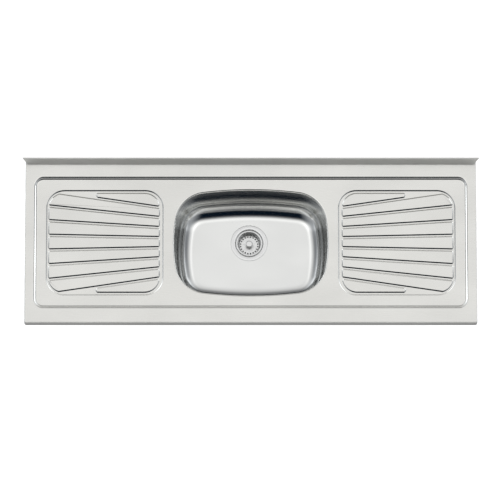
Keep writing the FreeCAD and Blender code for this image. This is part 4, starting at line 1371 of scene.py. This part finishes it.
class SINK_OT_lock_rings(bpy.types.Operator):
    """Model the gaskets, the friction washer and the lock nut that clamp the strainer"""

    bl_idname = "sink.lock_rings"
    bl_label = "Gaskets and lock nut"

    def execute(self, context):
        finish, hole = settings().finish, settings().bowl.hole_radius
        rubber = rubber_material("gasket_rubber", finish.rubber)
        for name in ("flange_gasket", "under_gasket"):
            finish_piece(f"ring_{name}", washer(name, hole, EASED), rubber, "sink", name)
        card = card_material("fibre_card", finish.card)
        ring = washer("friction_washer", hole, CARD_EDGE)
        finish_piece("ring_friction_washer", ring, card, "sink", "friction_washer")
        plastic = plastic_material("nut_plastic", finish.plastic)
        finish_piece("back_nut", build_lock_nut(), plastic, "sink", "lock_nut")
        return {"FINISHED"}


def build_coupling_nut():
    """Models the hexagon nut round the tailpiece: a threaded bore above a floor with the tube's hole."""
    waste, middle = settings().waste, Places().waste
    low, high = BOXES["coupling_nut"]
    top, height = middle + UP * high.z, high.z - low.z
    bm = bmesh.new()
    corners = ((high.y - low.y) / 2 - NUT_CHAMFER) / math.cos(math.pi / HEXAGON)
    for vert in add_circle(bm, corners, top, HEXAGON):
        round_corner(bm, vert, NUT_CORNER, segments=4)
    hexagon = anticlockwise(bm.verts, middle)
    upper = [(-NUT_CHAMFER, 0, 0), (0, -NUT_CHAMFER, BROAD)]
    lower = [(0, NUT_CHAMFER - height, BROAD), (-NUT_CHAMFER, -height, 0)]
    foot = sweep(bm, hexagon, rounded_path(upper + lower, segments=3))
    thread, hole = waste.spigot_radius + THREAD_PLAY, waste.tube_radius + TUBE_PLAY
    floor = low.z + waste.coupling_floor
    bore = add_circle(bm, thread, top, BORE_CORNERS)
    fill_flat(bm, hexagon, bore)
    fill_flat(bm, foot, carry_round(bm, bore, [(thread, floor), (hole, floor), (hole, low.z)]))
    close_seams(bm)
    return bm


class SINK_OT_tailpiece(bpy.types.Operator):
    """Model the outlet tube with its washer and coupling nut"""

    bl_idname = "sink.tailpiece"
    bl_label = "Tailpiece and coupling nut"

    def execute(self, context):
        waste, finish = settings().waste, settings().finish
        low, high = BOXES["tailpiece"]
        collar, radius = (high.y - low.y) / 2, waste.tube_radius
        shoulder, bore = high.z - waste.tube_collar, radius - waste.tube_wall
        tube = turned(
            [
                (bore, low.z, FINE),
                (radius, low.z, FINE),
                (radius, shoulder, FULL),
                (collar, shoulder, SOFT),
                (collar, high.z, SOFT),
                (bore, high.z, SOFT),
            ]
        )
        chrome = polished_metal("chrome", finish.chrome, finish.chrome_roughness)
        finish_piece("outlet_tube", tube, chrome, "sink", "tailpiece")
        rubber = rubber_material("washer_rubber", finish.rubber)
        ring = washer("tailpiece_washer", waste.outlet_radius, EASED)
        finish_piece("outlet_washer", ring, rubber, "sink", "tailpiece_washer")
        plastic = plastic_material("coupling_plastic", finish.plastic)
        finish_piece("hexagon_nut", build_coupling_nut(), plastic, "sink", "coupling_nut")
        return {"FINISHED"}


# Basket


def build_basket():
    """Spins the basket from sheet: a pierced floor, a pierced wall and a rolled rim."""
    waste, middle = settings().waste, Places().waste
    low, high = BOXES["basket_cup"]
    rim_radius, wall_foot = (high.y - low.y) / 2, waste.basket_floor
    level = low.z + waste.basket_wall
    floor = middle + UP * level
    bm = bmesh.new()
    holes = []
    for index in range(waste.holes):
        turn = TURN * (index + 0.5) / waste.holes
        way = Vector((math.cos(turn), math.sin(turn), 0))
        holes.append(add_circle(bm, waste.hole_radius, floor + way * waste.hole_ring, HOLE_CORNERS))
    eye = add_circle(bm, waste.sleeve_radius, floor, BORE_CORNERS)
    edge = add_circle(bm, wall_foot - BASKET_BEND, floor, BASKET_CORNERS)
    fill_flat(bm, edge, eye, *holes)
    slope = (waste.mouth_radius - wall_foot) / (high.z - level)
    band_low = level + waste.wall_hole_height - BAND_HEIGHT / 2
    band_high = band_low + BAND_HEIGHT
    band_foot, band_head = (wall_foot + slope * (height - level) for height in (band_low, band_high))
    foot = [(wall_foot - BASKET_BEND, level, 0), (wall_foot, level, BASKET_BEND), (band_foot, band_low, 0)]
    rim = [
        (band_head, band_high, 0),
        (waste.mouth_radius, high.z, BASKET_BEND),
        (rim_radius, high.z, RIM_ROLL),
        (rim_radius, high.z - waste.basket_rim, 0),
    ]
    lower = carry_round(bm, edge, rounded_path(foot)[1:])
    upper = add_circle(bm, band_head, middle + UP * band_high, BASKET_CORNERS)
    add_pierced_band(bm, lower, upper)
    carry_round(bm, upper, rounded_path(rim)[1:])
    bmesh.ops.remove_doubles(bm, verts=bm.verts, dist=WELD_GAP)
    face_outwards(bm, (middle.x + waste.hole_ring / 2, middle.y, level))
    return bm


def add_pierced_band(bm, lower, upper):
    """Lays out the band between two rings flat, pierces it, and wraps it round."""
    waste, centre = settings().waste, Places().waste
    radii = [math.hypot(ring[0].co.x - centre.x, ring[0].co.y - centre.y) for ring in (lower, upper)]
    levels = [ring[0].co.z for ring in (lower, upper)]
    height = math.hypot(levels[1] - levels[0], radii[1] - radii[0])
    middle = sum(radii) / 2
    run = TURN * middle
    along = [run * index / len(lower) for index in range(len(lower) + 1)]
    border = [(u, 0, 0) for u in along] + [(u, height, 0) for u in reversed(along)]
    band, _ = draw_path(bm, border, closed=True)
    places = [Vector((run * (index + 0.5) / waste.holes, height / 2, 0)) for index in range(waste.holes)]
    circles = [add_circle(bm, waste.hole_radius, place, HOLE_CORNERS) for place in places]
    fill_flat(bm, band, *circles)
    for vert in sum(circles, band):
        turn, part = vert.co.x / middle - math.pi, vert.co.y / height
        radius = radii[0] + (radii[1] - radii[0]) * part
        level = levels[0] + (levels[1] - levels[0]) * part
        vert.co = Vector((centre.x + radius * math.cos(turn), centre.y + radius * math.sin(turn), level))


class SINK_OT_basket(bpy.types.Operator):
    """Model the strainer basket and the sleeve in its floor"""

    bl_idname = "sink.basket"
    bl_label = "Basket"

    def execute(self, context):
        waste, finish = settings().waste, settings().finish
        polished = polished_metal("polished_basket", finish.polished, finish.basket_roughness)
        sheet = waste.basket_wall
        finish_piece("sieve", build_basket(), polished, "basket", "basket_cup", sheet)
        low, high = BOXES["basket_sleeve"]
        collar, step = (high.y - low.y) / 2, low.z + waste.sleeve_collar
        profile = [
            (waste.sleeve_bore, low.z, KEEN),
            (collar, low.z, KEEN),
            (collar, step, KEEN),
            (waste.sleeve_radius, step, 0),
            (waste.sleeve_radius, high.z, EASED),
            (waste.sleeve_bore, high.z, EASED),
        ]
        sleeve = turned(profile, segments=48)
        finish_piece("stem_guide", sleeve, polished, "basket", "basket_sleeve")
        return {"FINISHED"}


# Stopper


def build_knob():
    """Turns the knob: a narrow waist that swells into a domed head."""
    waste = settings().waste
    low, high = BOXES["stopper_knob"]
    radius, head = (high.y - low.y) / 2, high.z - waste.knob_head
    corners = [
        (0, low.z, 0),
        (waste.knob_waist, low.z, FULL),
        (waste.knob_waist, head - KNOB_SWELL, KNOB_COVE),
        (radius, head, KNOB_UNDERSIDE),
        (radius, high.z - FINE, KNOB_SHOULDER),
        (radius - KNOB_CROWN_INSET, high.z, KNOB_CROWN),
        (0, high.z, 0),
    ]
    return turned(corners, closed=False, segments=64, rounding=5)


def build_stem():
    """Turns the stem with its thinner threaded tail."""
    waste = settings().waste
    low, high = BOXES["stopper_stem"]
    step = BOXES["seal_washer"][1].z
    corners = [
        (0, high.z, 0),
        (waste.stem_radius, high.z, FINE),
        (waste.stem_radius, step, 0),
        (waste.stem_tail, step, 0),
        (waste.stem_tail, low.z, SOFT),
        (0, low.z, 0),
    ]
    return turned(corners, closed=False, segments=32)


def build_seal():
    """Turns the rubber seal with its bevelled lower edge."""
    tail = settings().waste.stem_tail
    low, high = BOXES["stopper_seal"]
    radius = (high.y - low.y) / 2
    corners = [
        (tail, low.z, 0),
        (radius - SEAL_BEVEL_WIDTH, low.z, BROAD),
        (radius, low.z + SEAL_BEVEL_HEIGHT, SEAL_LIP),
        (radius, high.z, BROAD),
        (tail, high.z, 0),
    ]
    return turned(corners)


class SINK_OT_stopper(bpy.types.Operator):
    """Model the stopper: knob, stem, seal, washer and nut"""

    bl_idname = "sink.stopper"
    bl_label = "Stopper"

    def execute(self, context):
        finish, tail = settings().finish, settings().waste.stem_tail
        polished = polished_metal("polished_stopper", finish.polished, finish.stopper_roughness)
        finish_piece("pull_knob", build_knob(), polished, "plunger", "stopper_knob")
        finish_piece("lift_stem", build_stem(), polished, "plunger", "stopper_stem")
        rubber = rubber_material("seal_rubber", finish.rubber)
        finish_piece("plug_seal", build_seal(), rubber, "plunger", "stopper_seal")
        for name, node, edge in (("plug_washer", "seal_washer", KEEN), ("plug_nut", "stem_nut", FINE)):
            finish_piece(name, washer(node, tail, edge), polished, "plunger", node)
        return {"FINISHED"}


# Studio

SKY_PEAK = 2.5
COLD_FILL = (0.001, 0.006, 0.014)
COLD_SIDES = (0.96, 0.99, 1.03)
# degrees from the front horizon over the top to the back, with the brightness there
AHEAD_SKY = (
    (-180, 0.9), (-130, 0.3), (-65, 0.3), (-40, 0.7), (-20, 1.0), (-6, 1.4), (4, 1.7), (14, 0.9),
    (24, 0.2), (32, 0.0), (60, 0.0), (68, 0.15), (76, 0.6), (84, 1.15), (92, 1.32), (102, 1.08),
    (112, 0.95), (125, 0.78), (142, 0.3), (153, 0.2), (161, 1.1), (168, 1.1), (174, 0.6), (180, 0.9),
)
# the same towards both sides
ASIDE_SKY = (
    (-180, 2.4), (-160, 0.8), (-120, 0.5), (-40, 0.55), (0, 0.65), (14, 0.6), (30, 0.45), (54, 0.4),
    (84, 0.55), (96, 0.5), (104, 0.25), (114, 0.25), (124, 0.45), (136, 1.0), (150, 1.5), (162, 2.0),
    (180, 2.4),
)
# how the sky ahead brightens sidewards and the sides glow, and from where to where; 1 is straight aside
HALO = 1.3
HALO_FROM = 0.1
ASIDE_FROM = 0.3
ASIDE_FULL = 0.75
SIDE_GLOW = 1.9
GLOW_FROM = 0.86
GLOW_FULL = 0.96


class SINK_OT_studio(bpy.types.Operator):
    """Set up the floor, the soft light all round and the camera"""

    bl_idname = "sink.studio"
    bl_label = "Studio"

    def execute(self, context):
        add_floor()
        add_sky()
        add_camera()
        return {"FINISHED"}


def add_floor():
    bm = bmesh.new()
    bmesh.ops.create_grid(bm, x_segments=1, y_segments=1, size=FLOOR_REACH)
    bmesh.ops.translate(bm, vec=(0, 0, CAD_BOUNDS[0].z), verts=bm.verts)
    floor = link_mesh("studio_floor", bm, floor_material("studio_floor", settings().studio.floor))
    floor.visible_glossy = False


def add_sky():
    """A soft studio: bright ahead and overhead with a dark gap between, and greyer towards both sides."""
    world = bpy.data.worlds.new("soft_studio")
    bpy.context.scene.world = world
    world.use_nodes = True
    tree = world.node_tree
    place = tree.nodes.new("ShaderNodeTexCoord").outputs["Generated"]
    way = add_node(tree, "ShaderNodeSeparateXYZ", vector=place).outputs
    angle = calculate(tree, "ARCTAN2", way["Z"], calculate(tree, "MULTIPLY", way["Y"], -1))
    across = calculate(tree, "ABSOLUTE", way["X"])
    halo = spread(tree, across, 1, HALO, HALO_FROM, ASIDE_FROM)
    glow = spread(tree, across, 1, SIDE_GLOW, GLOW_FROM, GLOW_FULL)
    ahead = sky_ramp(tree, angle, AHEAD_SKY, halo)
    aside = sky_ramp(tree, angle, ASIDE_SKY, glow, COLD_SIDES)
    sideways = spread(tree, across, 0, 1, ASIDE_FROM, ASIDE_FULL)
    mixed = add_node(tree, "ShaderNodeMix", data_type="RGBA", factor=sideways, a=ahead, b=aside)
    set_up(tree, tree.nodes["Background"], strength=SKY_PEAK, color=mixed.outputs["Result"])


def sky_ramp(tree, angle, levels, gain, tint=(1, 1, 1)):
    """Maps an angle to the light given at some angles in degrees, as shares of the peak, times a gain."""
    first, last = levels[0][0], levels[-1][0]
    place = spread(tree, angle, 0, 1, math.radians(first), math.radians(last))
    ramp = add_node(tree, "ShaderNodeValToRGB", fac=place)
    stops = ramp.color_ramp.elements
    known = len(stops)
    for index, (degrees, level) in enumerate(levels):
        position = (degrees - first) / (last - first)
        stop = stops[index] if index < known else stops.new(position)
        stop.position = position
        stop.color = (*((level * part + fill) / SKY_PEAK for part, fill in zip(tint, COLD_FILL)), 1)
    light = ramp.outputs["Color"]
    return add_node(tree, "ShaderNodeVectorMath", operation="SCALE", vector=light, scale=gain).outputs[0]


def add_camera():
    """Looks down on the sink from the front with a long lens, as the photograph does."""
    studio, places = settings().studio, Places()
    distance, elevation = studio.camera_distance, studio.camera_elevation
    camera = bpy.data.cameras.new("camera")
    camera.lens = camera.sensor_width * distance / studio.frame_width
    camera.clip_end = 3 * distance
    holder = bpy.data.objects.new("camera", camera)
    bpy.context.scene.collection.objects.link(holder)
    aim = Vector((-studio.aim_left, places.wall_y - studio.aim_back, places.deck_level))
    back = Vector((0, -math.cos(elevation), math.sin(elevation)))
    holder.location = aim + back * distance
    holder.rotation_mode = "QUATERNION"
    holder.rotation_quaternion = (-back).to_track_quat("-Z", "Y")
    bpy.context.scene.camera = holder
    bpy.context.scene.view_settings.view_transform = "Standard"


# Add-on


class SINK_PT_panel(bpy.types.Panel):
    bl_idname = "SINK_PT_panel"
    bl_label = "Kitchen sink"
    bl_space_type = "VIEW_3D"
    bl_region_type = "UI"
    bl_category = "Sink"

    def draw(self, context):
        for operator in OPERATORS:
            self.layout.operator(operator.bl_idname)


SINK = (SINK_OT_pressed_top, SINK_OT_bowl, SINK_OT_battens, SINK_OT_stiffeners, SINK_OT_sound_pads)
FITTINGS = (SINK_OT_strainer, SINK_OT_lock_rings, SINK_OT_tailpiece, SINK_OT_basket, SINK_OT_stopper)
OPERATORS = SINK + FITTINGS + (SINK_OT_studio,)
SIZES = (DeckSettings, DrainerSettings, BowlSettings, WasteSettings, UndersideSettings)
CLASSES = SIZES + (FinishSettings, StudioSettings, SinkSettings) + OPERATORS + (SINK_PT_panel,)


def register():
    for item in CLASSES:
        bpy.utils.register_class(item)
    bpy.types.Scene.kitchen_sink = PointerProperty(type=SinkSettings)


def unregister():
    del bpy.types.Scene.kitchen_sink
    for item in reversed(CLASSES):
        bpy.utils.unregister_class(item)


def main():
    register()
    for operator in OPERATORS:
        group, name = operator.bl_idname.split(".")
        getattr(getattr(bpy.ops, group), name)()


if __name__ == "__main__":
    main()
